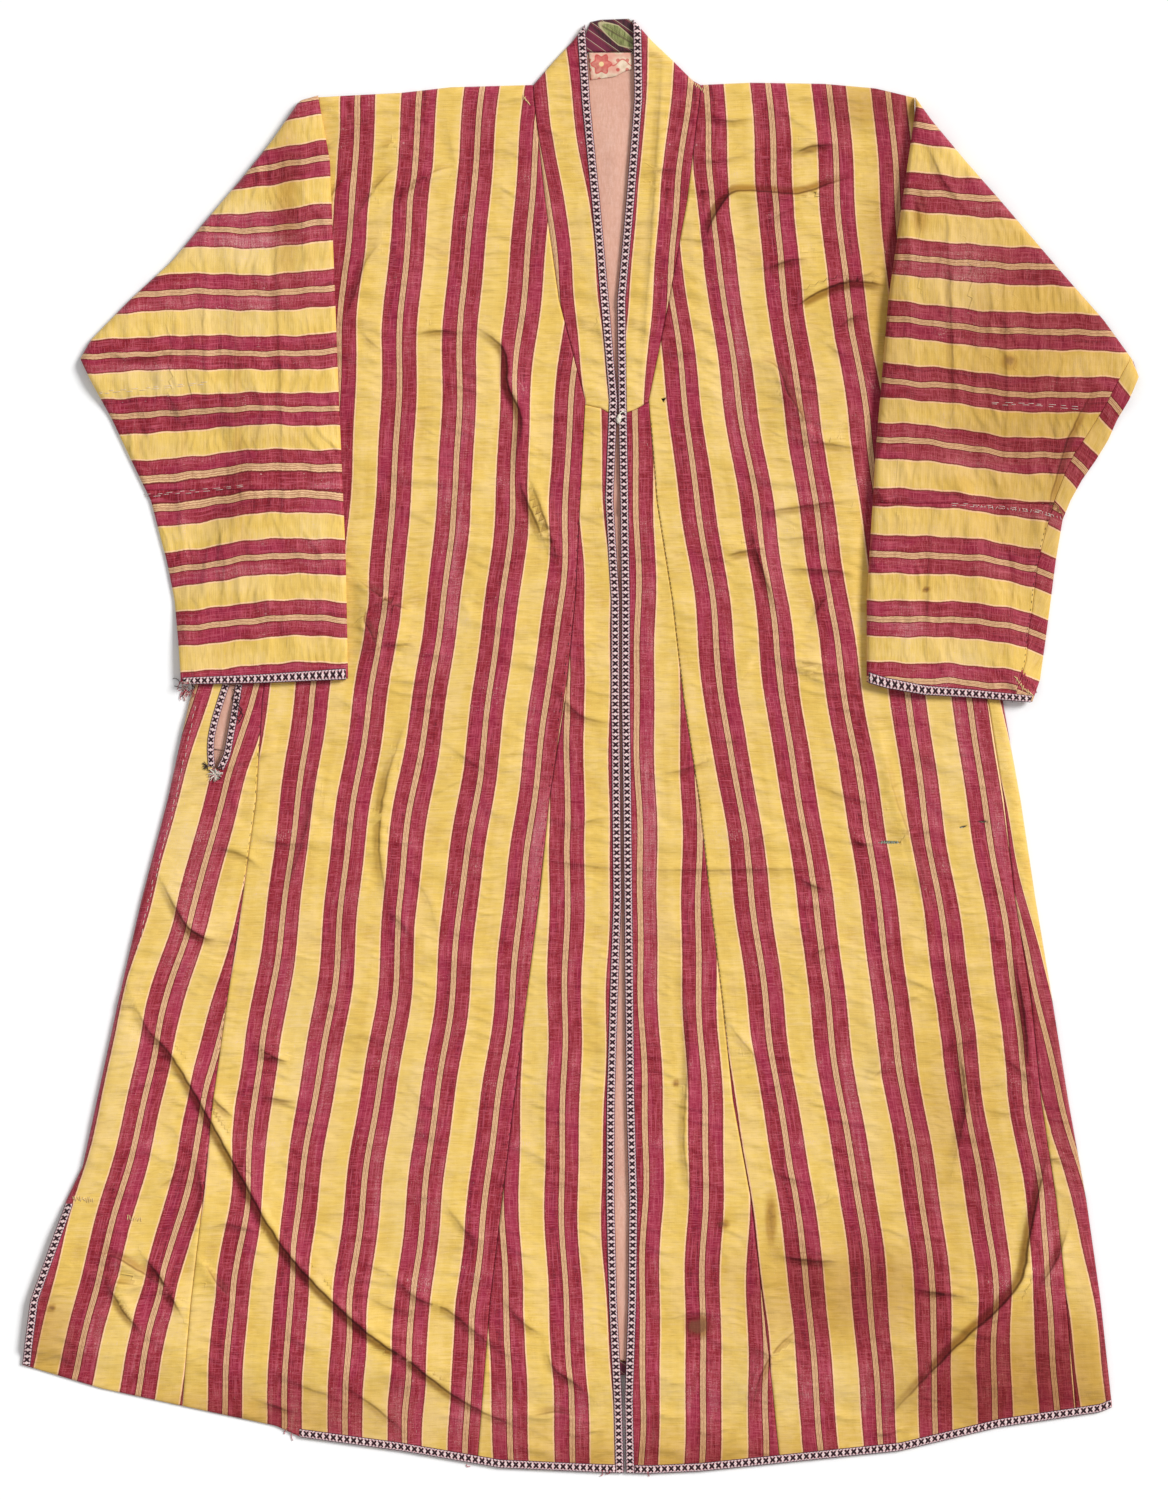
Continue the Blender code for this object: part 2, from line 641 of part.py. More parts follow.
# ---- Braid, pocket and button ----
def braid(name, panel, robe):
    """Edge braid made from a panel's own points, moved up on to it."""
    points = panel.copy()
    points[:, :, 2] += FRONT_CLOTH + SEWING_GAP
    sheet(name, points, BRAID_CLOTH, "braid", robe)


def edge_braids(side, band, insert, main, gore, robe):
    """Braid down the collar band, down the front edge, and along the hem."""
    edge = slice(-2, None) if side == "left" else slice(0, 2)
    braid("braid_neck_" + side, band[:, edge], robe)
    braid("braid_front_" + side, insert[:, edge], robe)
    if side == "left":
        hem = np.concatenate([main[:2, 4:], insert[:2, :-2], insert[:2, -2:-1]], axis=1)
        hem[:, -1, 0] -= SEWING_GAP
    else:
        hem = np.concatenate([insert[:2, 1:], main[:2], gore[:2, :-3]], axis=1)
        hem[:, 0, 0] += SEWING_GAP
    braid("braid_hem_" + side, hem, robe)


def slit_braid(gore, robe):
    """Braid along the open side slit at the foot of the left gore."""
    rows = [row for row in range(1, gore.shape[0]) if gore[row, 0, 1] < TURN_LEFT_SLIT[1]]
    points = gore[rows][:, [0, 3]]
    braid("braid_slit_left", points, robe)


def pocket(gore, robe, cutters):
    """A slit in the left gore with braid on both lips, and the bag's lining behind it."""
    top, bottom = np.array(POCKET_TOP), np.array(POCKET_BOTTOM)
    tilt = math.atan2(*(top - bottom))

    def strip(name, shift, width, low, high, z, thickness, colour, collection, steps):
        """A slanting strip beside the slit, between two shares of its length."""
        points = np.zeros((steps + 1, 2, 3))
        crosswise = np.array([math.cos(tilt), -math.sin(tilt)])
        for row in range(steps + 1):
            centre = bottom + (low + (high - low) * row / steps) * (top - bottom)
            for column, half in enumerate((-0.5, 0.5)):
                x, y = centre + crosswise * (shift + half * width)
                points[row, column] = x, y, z(x, y)
        return sheet(name, points, thickness, colour, collection)

    slit = strip("pocket_cut", 0.0, POCKET_SLIT, 0.0, 1.0, lambda x, y: -20.0, 60.0, "lining", cutters, 1)
    combine(gore, as_cutter(slit), "DIFFERENCE")

    def on_gore(x, y):
        return FRONT_Z + pocket_height(x, y) + FRONT_CLOTH + SEWING_GAP

    reach = 0.5 * (POCKET_SLIT + POCKET_BRAID)
    for name, shift in (("braid_pocket_outer", -reach), ("braid_pocket_inner", reach)):
        strip(name, shift, POCKET_BRAID, 0.0, 0.93, on_gore, BRAID_CLOTH, "braid", robe, 6)
    strip("pocket_lining", 0.0, 20.0, 0.06, 0.42, lambda x, y: FRONT_Z, LINING_CLOTH, "lining", robe, 2)


def button(robe):
    """A small knotted button that lies on the two braids where the fronts meet."""
    bm = bmesh.new()
    bmesh.ops.create_uvsphere(bm, u_segments=12, v_segments=8, radius=0.5)
    bmesh.ops.scale(bm, verts=bm.verts, vec=BUTTON_SIZE)
    rest = FRONT_Z + FRONT_CLOTH + BRAID_CLOTH + 2 * SEWING_GAP
    place = (*BUTTON_PLACE, rest + 0.5 * BUTTON_SIZE[2])
    bmesh.ops.translate(bm, verts=bm.verts, vec=place)
    finish("button", bm, "button", robe)


def stand(robe):
    """Carries every piece on one empty that puts the middle of the robe on the origin."""
    middle = bpy.data.objects.new("middle", None)
    middle.location = (-ROBE_MIDDLE[0] * MM, -ROBE_MIDDLE[1] * MM, 0.0)
    robe.objects.link(middle)
    for made in robe.objects:
        if made.type == "MESH":
            made.parent = middle


def main():
    for old in list(bpy.data.objects):
        bpy.data.objects.remove(old)
    robe = bpy.data.collections.new("chapan_robe")
    cutters = bpy.data.collections.new("cutters")
    bpy.context.scene.collection.children.link(robe)
    bpy.context.scene.collection.children.link(cutters)

    back_panels(robe)
    lining(robe)
    neck(robe)
    for side in ("left", "right"):
        band = collar_band(side, robe)
        insert = front_insert(side, robe)
        length = front_main(side, robe)
        gore_points, gore = side_gore(side, robe)
        edge_braids(side, band, insert, length, gore_points, robe)
        if side == "left":
            slit_braid(gore_points, robe)
            pocket(gore, robe, cutters)
        sleeve_root(side, robe)
        sleeve(side, robe, cutters)
    button(robe)
    stand(robe)


main()
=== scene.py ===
"""The looks of a chapan robe: its striped cloth, braid, sewing and wear, and the studio it lies in.

Places are in millimetres on the table that the robe lies on, as in its solids: X across the robe,
Y from the hem up to the collar, Z up from the table. to_frame() turns them into the frame's metres.
"""

import json
import math

import bpy
import numpy as np
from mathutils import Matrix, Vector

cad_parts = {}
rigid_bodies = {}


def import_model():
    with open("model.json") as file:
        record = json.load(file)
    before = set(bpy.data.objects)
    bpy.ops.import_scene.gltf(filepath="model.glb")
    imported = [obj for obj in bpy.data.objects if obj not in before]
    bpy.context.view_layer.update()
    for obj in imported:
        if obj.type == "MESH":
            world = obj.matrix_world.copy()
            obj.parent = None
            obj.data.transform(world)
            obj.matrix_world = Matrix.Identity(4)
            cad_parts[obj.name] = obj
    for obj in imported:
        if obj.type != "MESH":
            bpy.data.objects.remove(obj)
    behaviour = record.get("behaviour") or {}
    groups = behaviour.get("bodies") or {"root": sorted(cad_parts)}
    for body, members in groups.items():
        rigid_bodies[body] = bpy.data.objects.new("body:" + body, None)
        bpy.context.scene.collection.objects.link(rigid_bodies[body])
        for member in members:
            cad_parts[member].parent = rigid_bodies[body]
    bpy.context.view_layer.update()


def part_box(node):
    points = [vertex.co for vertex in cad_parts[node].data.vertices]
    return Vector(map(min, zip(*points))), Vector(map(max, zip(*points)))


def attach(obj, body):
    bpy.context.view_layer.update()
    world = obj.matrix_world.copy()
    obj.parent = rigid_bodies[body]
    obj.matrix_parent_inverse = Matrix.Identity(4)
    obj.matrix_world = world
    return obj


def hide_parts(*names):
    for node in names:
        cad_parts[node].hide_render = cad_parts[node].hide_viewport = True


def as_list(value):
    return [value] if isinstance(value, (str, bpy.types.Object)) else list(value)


MM = 0.001
SIDES = ("left", "right")
ROBE_MIDDLE = np.array((0.3, 1.9, 0.0))

# ---- Cloth thicknesses and heights, as in the solids ----
SEWING_GAP = 0.3
BACK_CLOTH = 2.0
LINING_CLOTH = 1.0
FRONT_CLOTH = 1.8
SLEEVE_CLOTH = 1.4
SLEEVE_HEIGHT = 3.8
BRAID_CLOTH = 1.0
BRAID_WIDTH = 7.5
BRAID_LIFT = 0.12
HEM_BRAID_START = -247.0
SLIT_TOP = -401.0
LINING_Z = BACK_CLOTH + SEWING_GAP
FRONT_Z = LINING_Z + LINING_CLOTH + SEWING_GAP
SLEEVE_Z = FRONT_Z + FRONT_CLOTH + SEWING_GAP
HALF_GAP = 0.1

ROLL_WIDTH = 9.0
BACK_INSET = 5.0
LINING_INSET = 14.0
ROOT_INSET = 14.0
ROOT_RISE = 10.0
SLEEVE_OVERHANG = 16.0
SLEEVE_DROP = 30.0
HEM_DROP = 30.0
HEM_CLEARANCE = 3.0
HEM_FACING = 12.0
TURN_LEFT = (290.0, 210.0)
TURN_LEFT_SLIT = (-430.0, -400.0)
TURN_RIGHT = (100.0, 50.0)

# ---- The cut, as in the solids: seams and edges across the robe, section by section ----
SEAM_COLUMNS = (
    "y", "side_left", "gore_left", "insert_left", "edge_left",
    "edge_right", "insert_right", "gore_right", "side_right",
)
SEAM_ROWS = (
    (-641, -502.0, -355.5, -91.5, 38.7, 40.5, 177.0, 442.6, 473.0),
    (-574, -495.4, -350.2, -86.2, 37.0, 39.2, 170.3, 435.6, 468.0),
    (-486, -484.0, -342.3, -79.2, 32.6, 42.2, 160.6, 427.7, 458.5),
    (-398, -452.3, -331.8, -68.6, 30.4, 43.1, 150.5, 418.9, 446.0),
    (-368, -438.0, -328.8, -65.1, 30.5, 42.2, 145.1, 414.4, 440.5),
    (-310, -425.5, -323.0, -58.1, 30.8, 40.5, 134.6, 405.7, 430.0),
    (-222, -406.6, -310.6, -47.5, 33.4, 39.6, 125.0, 396.9, 416.0),
    (-134, -386.3, -297.4, -36.1, 36.5, 38.7, 114.4, 382.8, 401.3),
    (-46, -363.4, -285.1, -27.3, 35.6, 37.8, 104.7, 373.0, 388.0),
    (42, -344.0, -279.8, -13.2, 34.8, 36.5, 91.1, 359.0, 372.2),
    (130, -314.0, -269.3, -4.4, 34.8, 36.5, 81.0, 344.9, 344.5),
    (218, -279.8, -261.4, 0.0, 29.5, 35.2, 67.3, 315.0, 315.0),
    (306, -244.6, -244.6, 4.4, 33.0, 33.6, 60.3, 286.0, 286.0),
    (394, -238.0, -238.0, -18.5, 25.5, 32.6, 78.3, 288.6, 288.6),
    (482, -234.0, -234.0, -30.8, 17.6, 40.5, 94.2, 292.2, 292.2),
    (570, -230.6, -230.6, -40.5, 8.8, 47.5, 105.0, 294.8, 294.8),
    (584, -230.6, -230.6, -41.5, 8.0, 47.5, 106.0, 294.8, 294.8),
    (637, -230.6, -230.6, -41.5, 4.4, 46.6, 106.0, 294.8, 294.8),
)
GORE_TOP = {"left": 280.0, "right": 112.0}
BACK_GORE_TOP = {"left": 262.0, "right": 74.0}
CENTRE_BACK = 33.0
ARMPIT_Y = 306.0
ROOT_TOP = 552.0
FREE_EDGES = ("side", "edge")
NECK_SEAM = 613.0
COLLAR_BACK_SPAN = (-1.0, 57.0)
FACING_SPAN = (0.0, 55.0)

HEM = (
    (-492, -543), (-422, -564), (-334, -583), (-268, -597), (-246, -607), (-158, -619),
    (-70, -634), (18, -638), (62, -639), (106, -637), (194, -628), (282, -619),
    (370, -598), (458, -585), (470, -580),
)
BACK_HEM = ((-492, -522), (-250, -540), (30, -552), (300, -556), (470, -558))
TOP_OUTLINE = (
    (-231, 574), (-158, 577), (-114, 582), (-41, 584), (-23, 605), (-6, 623), (4, 637),
    (18, 641.5), (46, 642.5), (63, 623), (82, 605), (99, 588), (106, 584),
    (150, 586), (215, 585), (260, 581), (295, 573),
)
SHOULDER = {
    "left": ((-231, 573), (-158, 577), (-114, 582), (-41, 584)),
    "right": ((106, 584), (150, 586), (215, 585), (260, 581), (295, 572.5)),
}
COLLAR_END = {
    "left": ((5, 302), (18, 299), (25, 295), (33, 294)),
    "right": ((34, 294), (41, 295), (49, 298), (56, 302), (60, 304)),
}
BACK_TOP = (
    (-226, 562), (-48, 572), (-30, 588), (-14, 608), (68, 608), (92, 588), (108, 572), (290, 560),
)
LINING_TOP = (
    (-217, 560), (-50, 564), (-28, 580), (-12, 600), (0, 611), (52, 611),
    (66, 598), (88, 580), (105, 564), (281, 556),
)
FACING_TOP = ((0, 618), (4, 625), (9, 639.5), (18, 641.5), (45, 642.5), (50, 625), (55, 618))
PATCH_BOTTOM = ((9, 588), (18, 589), (31, 591), (40, 596), (48, 598))

SLEEVE_EDGES = {
    "left": {
        "cuff": ((-204, 60.7), (-280, 57.5), (-351, 56.3)),
        "inner": ((-204, 60.7), (-206, 165), (-212, 306), (-220, 517), (-230.6, 574.6)),
        "outer": (
            (-351, 56.3), (-353, 86), (-357, 130), (-364, 165), (-378, 218), (-395, 253),
            (-412, 289), (-431, 324), (-440, 343),
        ),
        "fold": (
            (-230.6, 574.6), (-247, 570), (-271, 535), (-299, 500), (-329, 465), (-359, 429),
            (-397, 394), (-431, 359), (-440, 343),
        ),
    },
    "right": {
        "cuff": ((252, 58), (269, 53), (303, 47), (340, 45), (398, 40.5)),
        "inner": ((252, 58), (252, 130), (260, 262), (271, 394), (294.8, 561), (294.8, 573)),
        "outer": (
            (398, 40.5), (405, 60), (410, 95), (414.5, 130), (419, 165), (425, 201), (432, 218),
            (442, 236), (454, 253), (465, 271), (473, 289), (483, 306), (492, 327),
        ),
        "fold": (
            (294.8, 573), (309, 553), (339, 517), (370, 482), (400, 447), (430, 412),
            (461, 377), (487, 341), (492, 327),
        ),
    },
}
SLEEVE_JOIN = {"left": 227.0, "right": 215.0}
STRIP_SEAM = (
    (40, 382), (53, 384.6), (77, 392.5), (105, 395), (121, 398), (158, 402), (175, 406), (198, 412),
    (219, 418), (242, 427), (259, 435), (275, 446), (301, 462), (323, 473.4), (342, 484),
)
POCKET_BRAID = 6.2
POCKET_WIDTH = 24.0
POCKET_LIPS = {
    "outer": ((-311, 57.5), (-316, 42.2), (-321.2, 24.6), (-324.4, 10), (-325.2, -1.8), (-324, -17.6)),
    "inner": ((-299.8, 57.5), (-302.3, 42.2), (-304.9, 24.6), (-308, 8), (-310.2, -6), (-317, -19.4)),
}
POCKET_CENTRE = (-314.0, 2.0)
POCKET_REACH = (52.0, 40.0)
POCKET_RISE = LINING_CLOTH + SEWING_GAP
BUTTON_SIZE = (4.4, 8.4, 4.0)

# ---- The stripes: where each tan line lies across a panel, row by row downwards ----
# Each panel has its first row's height, the step between rows, and one line of places per tan line.
STRIPE_REPEAT = 54.3
STRIPES = {
    "front_left": (570.0, 88.0, (
        (-195, -201, -209, -214, -218, -224.5, -237, -247.5, -259.5, -273, -285.5, -294, -305.5, -312.5),
        (-140.5, -149, -156, -159.5, -166, -170.5, -186, -199, -209.5, -218.5, -233, -248, -255, -259.5),
        (-86, -95, -104, -105.5, -111.5, -119, -133, -148, -157.5, -164.5, -177.5, -191.5, -202, -205.5),
        (-34.5, -42.5, -50.5, -56.5, -60.5, -68, -80, -92, -104.5, -114, -126, -136.5, -147.5, -152),
        (17.5, 12.5, 2.5, -7, -12.5, -16.5, -29, -41.5, -51, -60.5, -72.5, -82.5, -94, -98),
    )),
    "front_right": (570.0, 88.0, (
        (63.5, 70.5, 80.5, 92.5, 103.5, 115.5, 125, 141, 150.5, 164, 175, 189.5, 202, 208),
        (110.5, 116.5, 126.5, 139, 156, 167, 178.5, 193.5, 206, 218, 229.5, 244, 256, 262),
        (166, 173, 180, 192.5, 207.5, 220, 233, 250, 261.5, 273, 287, 300, 310.5, 312.5),
        (220, 227, 236.5, 249, 262, 275.5, 288.5, 302.5, 316, 328, 341.5, 355, 365, 365.5),
        (272, 279, 288.5, 302.5, 316, 328, 341.5, 355.5, 371, 381.5, 393, 406.5, 412.5, 420),
    )),
    "side_gore_left": (42.0, 88.0, (
        (-289.5, -314.5, -339, -363.5, -383, -406.5, -428, -451.5),
        (-235, -259.5, -283.5, -307, -330, -348.5, -372, -391.5),
    )),
    "side_gore_right": (42.0, 88.0, (
        (286, 308, 328, 348.5, 369.5, 394, 412, 425),
        (340.5, 362.5, 383, 402.5, 423.5, 449, 466.5, 479.5),
        (380, 402, 416, 449, 473.5, 498, 517.5, 533.5),
    )),
    "front_insert_left": (306.0, 88.0, (
        (-67, -67, -66, -66, -66.5, -66, -67, -68, -68, -66, -62),
        (-16.5, -16, -11.5, -10.5, -12.5, -10.5, -13, -15, -15, -13, -8),
        (34.5, 35, 41.5, 42, 39.5, 41.5, 38.5, 35, 33.5, 37, 43),
    )),
    "front_insert_right": (306.0, 88.0, (
        (49.5, 49.5, 50.5, 50.5, 51, 53, 54.5, 56, 58, 54.5, 54.5),
        (103, 103, 103, 104, 104.5, 103.5, 106, 109.5, 110.5, 108, 107.5),
        (157.5, 157.5, 157.5, 158.5, 158.5, 158.5, 160, 163.5, 164.5, 163, 163),
    )),
    "collar_left": (570.0, 44.0, (
        (-42, -35.5, -29, -22.5, -21, -15, -9.5),
        (8, 14.5, 22.5, 27.5, 29, 35, 41.5),
    )),
    "collar_right": (570.0, 44.0, (
        (42, 41.5, 36.5, 32.5, 27.5, 23.5, 22),
        (94.5, 90, 85.5, 81, 78.5, 73, 71.5),
    )),
}
# On the sleeves each tan line's height is given at these places across, from the fold down.
SLEEVE_STRIPE_PLACES = {
    "left": (-440, -387, -334.5, -281.5, -237.5, -211),
    "right": (255, 299, 325.5, 352, 378.5, 405, 457.5),
}
SLEEVE_STRIPES = {
    "left_upper": (
        (482, 491, 500, 510, 517, 520), (454, 455, 456, 456, 461.5, 464),
        (396, 398, 400.5, 400, 403, 405.5), (345, 346.5, 346.5, 346.5, 348, 350),
        (291.5, 293.5, 295, 298.5, 298.5, 299.5), (236, 237.5, 241, 247.5, 248, 248),
    ),
    "left_lower": (
        (205, 209.5, 213.5, 221, 222.5, 221), (152, 156, 159.5, 167, 168.5, 169),
        (100.5, 104, 107, 111.5, 114.5, 112.5), (46.5, 49.5, 53, 56.5, 59, 59),
    ),
    "right_upper": (
        (552.5, 548, 545.5, 543, 541, 539.5, 537), (493, 488.5, 486, 483.5, 481.5, 479.5, 477),
        (434.5, 430, 428, 426, 423.5, 422.5, 420.5), (378.5, 374.5, 372, 368.5, 367, 365.5, 364),
        (323, 319, 318.5, 315.5, 311.5, 310.5, 309.5), (270, 269, 266, 263, 259, 258.5, 256),
        (211, 209, 208, 206, 203, 201, 198),
    ),
    "right_lower": (
        (229, 228, 227.5, 225, 222, 219, 214), (170, 168, 167.5, 167, 162.5, 157.5, 153),
        (113.5, 112, 112, 110.5, 108, 102, 95), (61.5, 58, 58, 55, 53.5, 49.5, 42),
    ),
}
# The underarm strip's tan lines: height at its seam, height at its outer edge.
STRIP_STRIPES = {
    "upper": ((362.5, 345.0), (307.0, 294.5), (255.0, 242.0), (203.0, 193.0)),
    "lower": ((213.0, 207.0), (156.5, 150.5), (103.0, 97.0), (49.5, 43.0)),
}

# How far the end lines of a sleeve piece are from the next, where its join takes cloth away.
JOIN_REPEAT = 96.0

# ---- How the cloth lies: soft air under the fronts, swells, and creases placed one by one ----
LOFT = 1.3
LINING_LOFT = 1.15
PRESS = 16.0
HEM_LIFT = 0.45
# Each crease: height, width, the side that is steep (-1 or 1, left of the path is 1), and its path.
CREASES = (
    (3.0, 13, -1, ((-397, -213), (-381, -246), (-358, -272), (-326, -326), (-301, -371),
                   (-268, -429), (-237, -467), (-186, -515), (-146, -542), (-112, -569),
                   (-75, -589), (-48, -600))),
    (1.6, 11, -1, ((-199, -449), (-165, -465), (-143, -484), (-118, -493), (-97, -509),
                   (-75, -527), (-54, -539))),
    (1.2, 9, -1, ((-119, -400), (-100, -425), (-84, -435))),
    (1.3, 9, -1, ((-69, -484), (-47, -508), (-34, -515))),
    (1.5, 10, -1, ((-30, -526), (-23, -545), (-5, -558), (11, -573))),
    (1.8, 9, 1, ((-48, -590), (-20, -585), (-3, -590))),
    (2.1, 8, 1, ((-430, -441), (-398, -454), (-356, -483))),
    (1.9, 8, 1, ((-335, -448), (-318, -473), (-305, -486))),
    (2.0, 8, -1, ((-417, -470), (-401, -495), (-385, -515))),
    (1.5, 8, -1, ((-286, -573), (-266, -580), (-247, -585))),
    (1.5, 9, 1, ((-160, 484), (-144, 498), (-124, 508), (-92, 514))),
    (1.4, 9, 1, ((-206, 452), (-190, 478), (-170, 503), (-150, 517))),
    (1.5, 9, 1, ((-224, 474), (-216, 490), (-204, 506))),
    (1.4, 10, 1, ((-212, 366), (-199, 396), (-188, 427), (-170, 452))),
    (1.6, 8, -1, ((150, 204), (175, 210), (212, 215), (246, 219))),
    (1.5, 7, -1, ((176, 158), (208, 157), (242, 154))),
    (1.5, 7, -1, ((182, 272), (216, 268), (250, 263))),
    (1.6, 7, 1, ((204, 114), (211, 124), (220, 135))),
    (1.4, 7, -1, ((185, 77), (202, 76), (220, 73))),
    (2.2, 11, -1, ((-371, -111), (-348, -153), (-334, -165), (-318, -170))),
    (3.4, 16, -1, ((410, -360), (405, -387), (396, -429), (389, -467), (366, -496),
                   (334, -524), (302, -557), (264, -598))),
    (3.2, 12, 1, ((112, 448), (116, 462), (132, 487), (155, 489), (192, 487), (217, 495), (248, 504))),
    (3.2, 12, -1, ((190, 388), (205, 399), (238, 411), (273, 407))),
    (2.0, 9, -1, ((186, 522), (204, 530), (228, 531))),
    (1.9, 9, -1, ((160, 420), (180, 428), (204, 432))),
    (2.2, 9, 1, ((-170, 134), (-190, 116), (-182, 96), (-174, 76))),
    (1.8, 8, -1, ((126, 168), (142, 173), (162, 176))),
    (1.8, 10, -1, ((-44, 238), (-30, 200), (-17, 158))),
    (2.0, 12, -1, ((382, -180), (392, -240), (396, -300))),
    (1.8, 10, -1, ((430, -420), (420, -450), (400, -480))),
    (1.6, 8, -1, ((224, 366), (238, 378), (252, 382))),
    (2.2, 10, 1, ((150, 344), (173, 335), (183, 311), (198, 286), (204, 264))),
    (1.9, 11, -1, ((150, 196), (158, 165), (173, 122))),
    (1.4, 8, 1, ((-178, 526), (-168, 530), (-154, 533))),
    (1.8, 9, 1, ((-166, 481), (-152, 489), (-138, 497))),
    (1.3, 8, -1, ((-217, 412), (-211, 425), (-206, 436))),
    (1.7, 8, -1, ((-147, 365), (-125, 367), (-100, 366))),
    (2.6, 11, -1, ((-92, 372), (-66, 350), (-63, 319), (-51, 289), (-57, 250))),
    (2.0, 10, -1, ((-54, 236), (-41, 205), (-29, 176))),
    (2.2, 10, 1, ((-203, 153), (-168, 128), (-148, 120))),
    (1.8, 9, -1, ((-290, -258), (-269, -272), (-255, -276))),
    (1.6, 8, -1, ((-283, -306), (-265, -309), (-246, -311))),
    (1.7, 8, -1, ((-327, -303), (-315, -315), (-303, -326))),
    (2.4, 11, -1, ((-384, -446), (-365, -472), (-350, -500))),
    (1.9, 10, -1, ((172, -446), (200, -450), (232, -452))),
    (1.7, 9, -1, ((290, -475), (315, -479), (340, -482))),
    (1.2, 6, -1, ((18, -106), (106, -107), (170, -106), (238, -109))),
    (1.6, 8, -1, ((192, -114), (206, -121), (220, -126))),
    (1.9, 14, 1, ((205, -500), (172, -528), (155, -562), (150, -604))),
    (1.7, 15, -1, ((-150, 30), (-170, -30), (-176, -90), (-166, -150))),
    (1.5, 13, 1, ((262, 20), (276, -40), (300, -110), (310, -170))),
    (1.3, 12, -1, ((-232, -20), (-240, -70), (-262, -140))),
    (1.2, 10, 1, ((-20, -250), (-28, -320), (-24, -390))),
    (1.3, 12, -1, ((88, -180), (96, -260), (92, -350), (104, -420))),
    (1.6, 12, -1, ((330, -250), (340, -310), (328, -370))),
    (1.6, 9, 1, ((-440, -455), (-410, -470), (-376, -474))),
    (1.5, 9, -1, ((-210, -560), (-180, -580), (-150, -606))),
    (1.5, 9, 1, ((60, -560), (64, -600), (60, -632))),
    (1.4, 8, -1, ((108, 560), (130, 552), (158, 556))),
    (1.4, 8, 1, ((-215, 560), (-196, 548), (-170, 552))),
    (1.0, 5, -1, ((73, 618), (69, 540), (62, 430), (54, 322))),
    (0.9, 5, 1, ((12, 430), (20, 380), (26, 330))),
)
LINING_CREASES = (
    (1.3, 7, 1, ((2, 560), (18, 572), (42, 588))),
    (0.9, 7, -1, ((12, 545), (26, 520), (28, 480))),
    (0.8, 6, 1, ((30, 560), (36, 530), (34, 500))),
    (2.2, 3.5, -1, ((-2, 579), (12, 588), (28, 599))),
)
LINING_SHOWN = (2.0, 10.0)
LINING_OPENING = (-30.0, -8.0)
LINING_SLACK_TOP = (556.0, 584.0)
PATCH_CREASE = (0.9, 6, 1, ((12, 604), (26, 600), (44, 606)))
# Each swell: place X and Y, reach across and along, height.
SWELLS = (
    (-165, 420, 34, 120, 1.6), (-84, 120, 30, 160, 1.3), (172, 420, 36, 110, 1.5),
    (230, 210, 34, 150, 1.8), (158, -20, 30, 140, 1.3), (-215, -60, 38, 150, 1.6),
    (-130, -330, 36, 140, 1.7), (100, -330, 32, 170, 1.3), (262, -330, 42, 130, 1.9),
    (-330, -400, 44, 70, 1.6), (352, -120, 30, 120, 1.4), (-60, -500, 40, 90, 1.5),
    (-410, -330, 26, 80, 1.6), (190, -560, 44, 46, 1.8), (-232, -520, 46, 60, 1.8),
)
CREASE_GAIN = 1.35
SMALL_CREASES = 240
SMALL_CREASE_SEED = 7
SMALL_CREASE_PLACES = ((-430, 430), (-620, 570))
SMALL_CREASE_HALF = (9, 40)
SMALL_CREASE_WIDTH = (6.0, 11.0)
CREASE_REACH = 3.6
CREASE_POINTS = 4
FAR_FROM_CREASE = 60.0
CREST_REACH = (4.0, 12.0)
STEEP_SHARE = 0.26
LEAST_DROP = 2.0
SOFT_SHARE = 1.3
TROUGH_DEPTH = 0.22
POCKET_FLAT = 0.75
PULL = 0.55
LEAST_PULL = 1.2

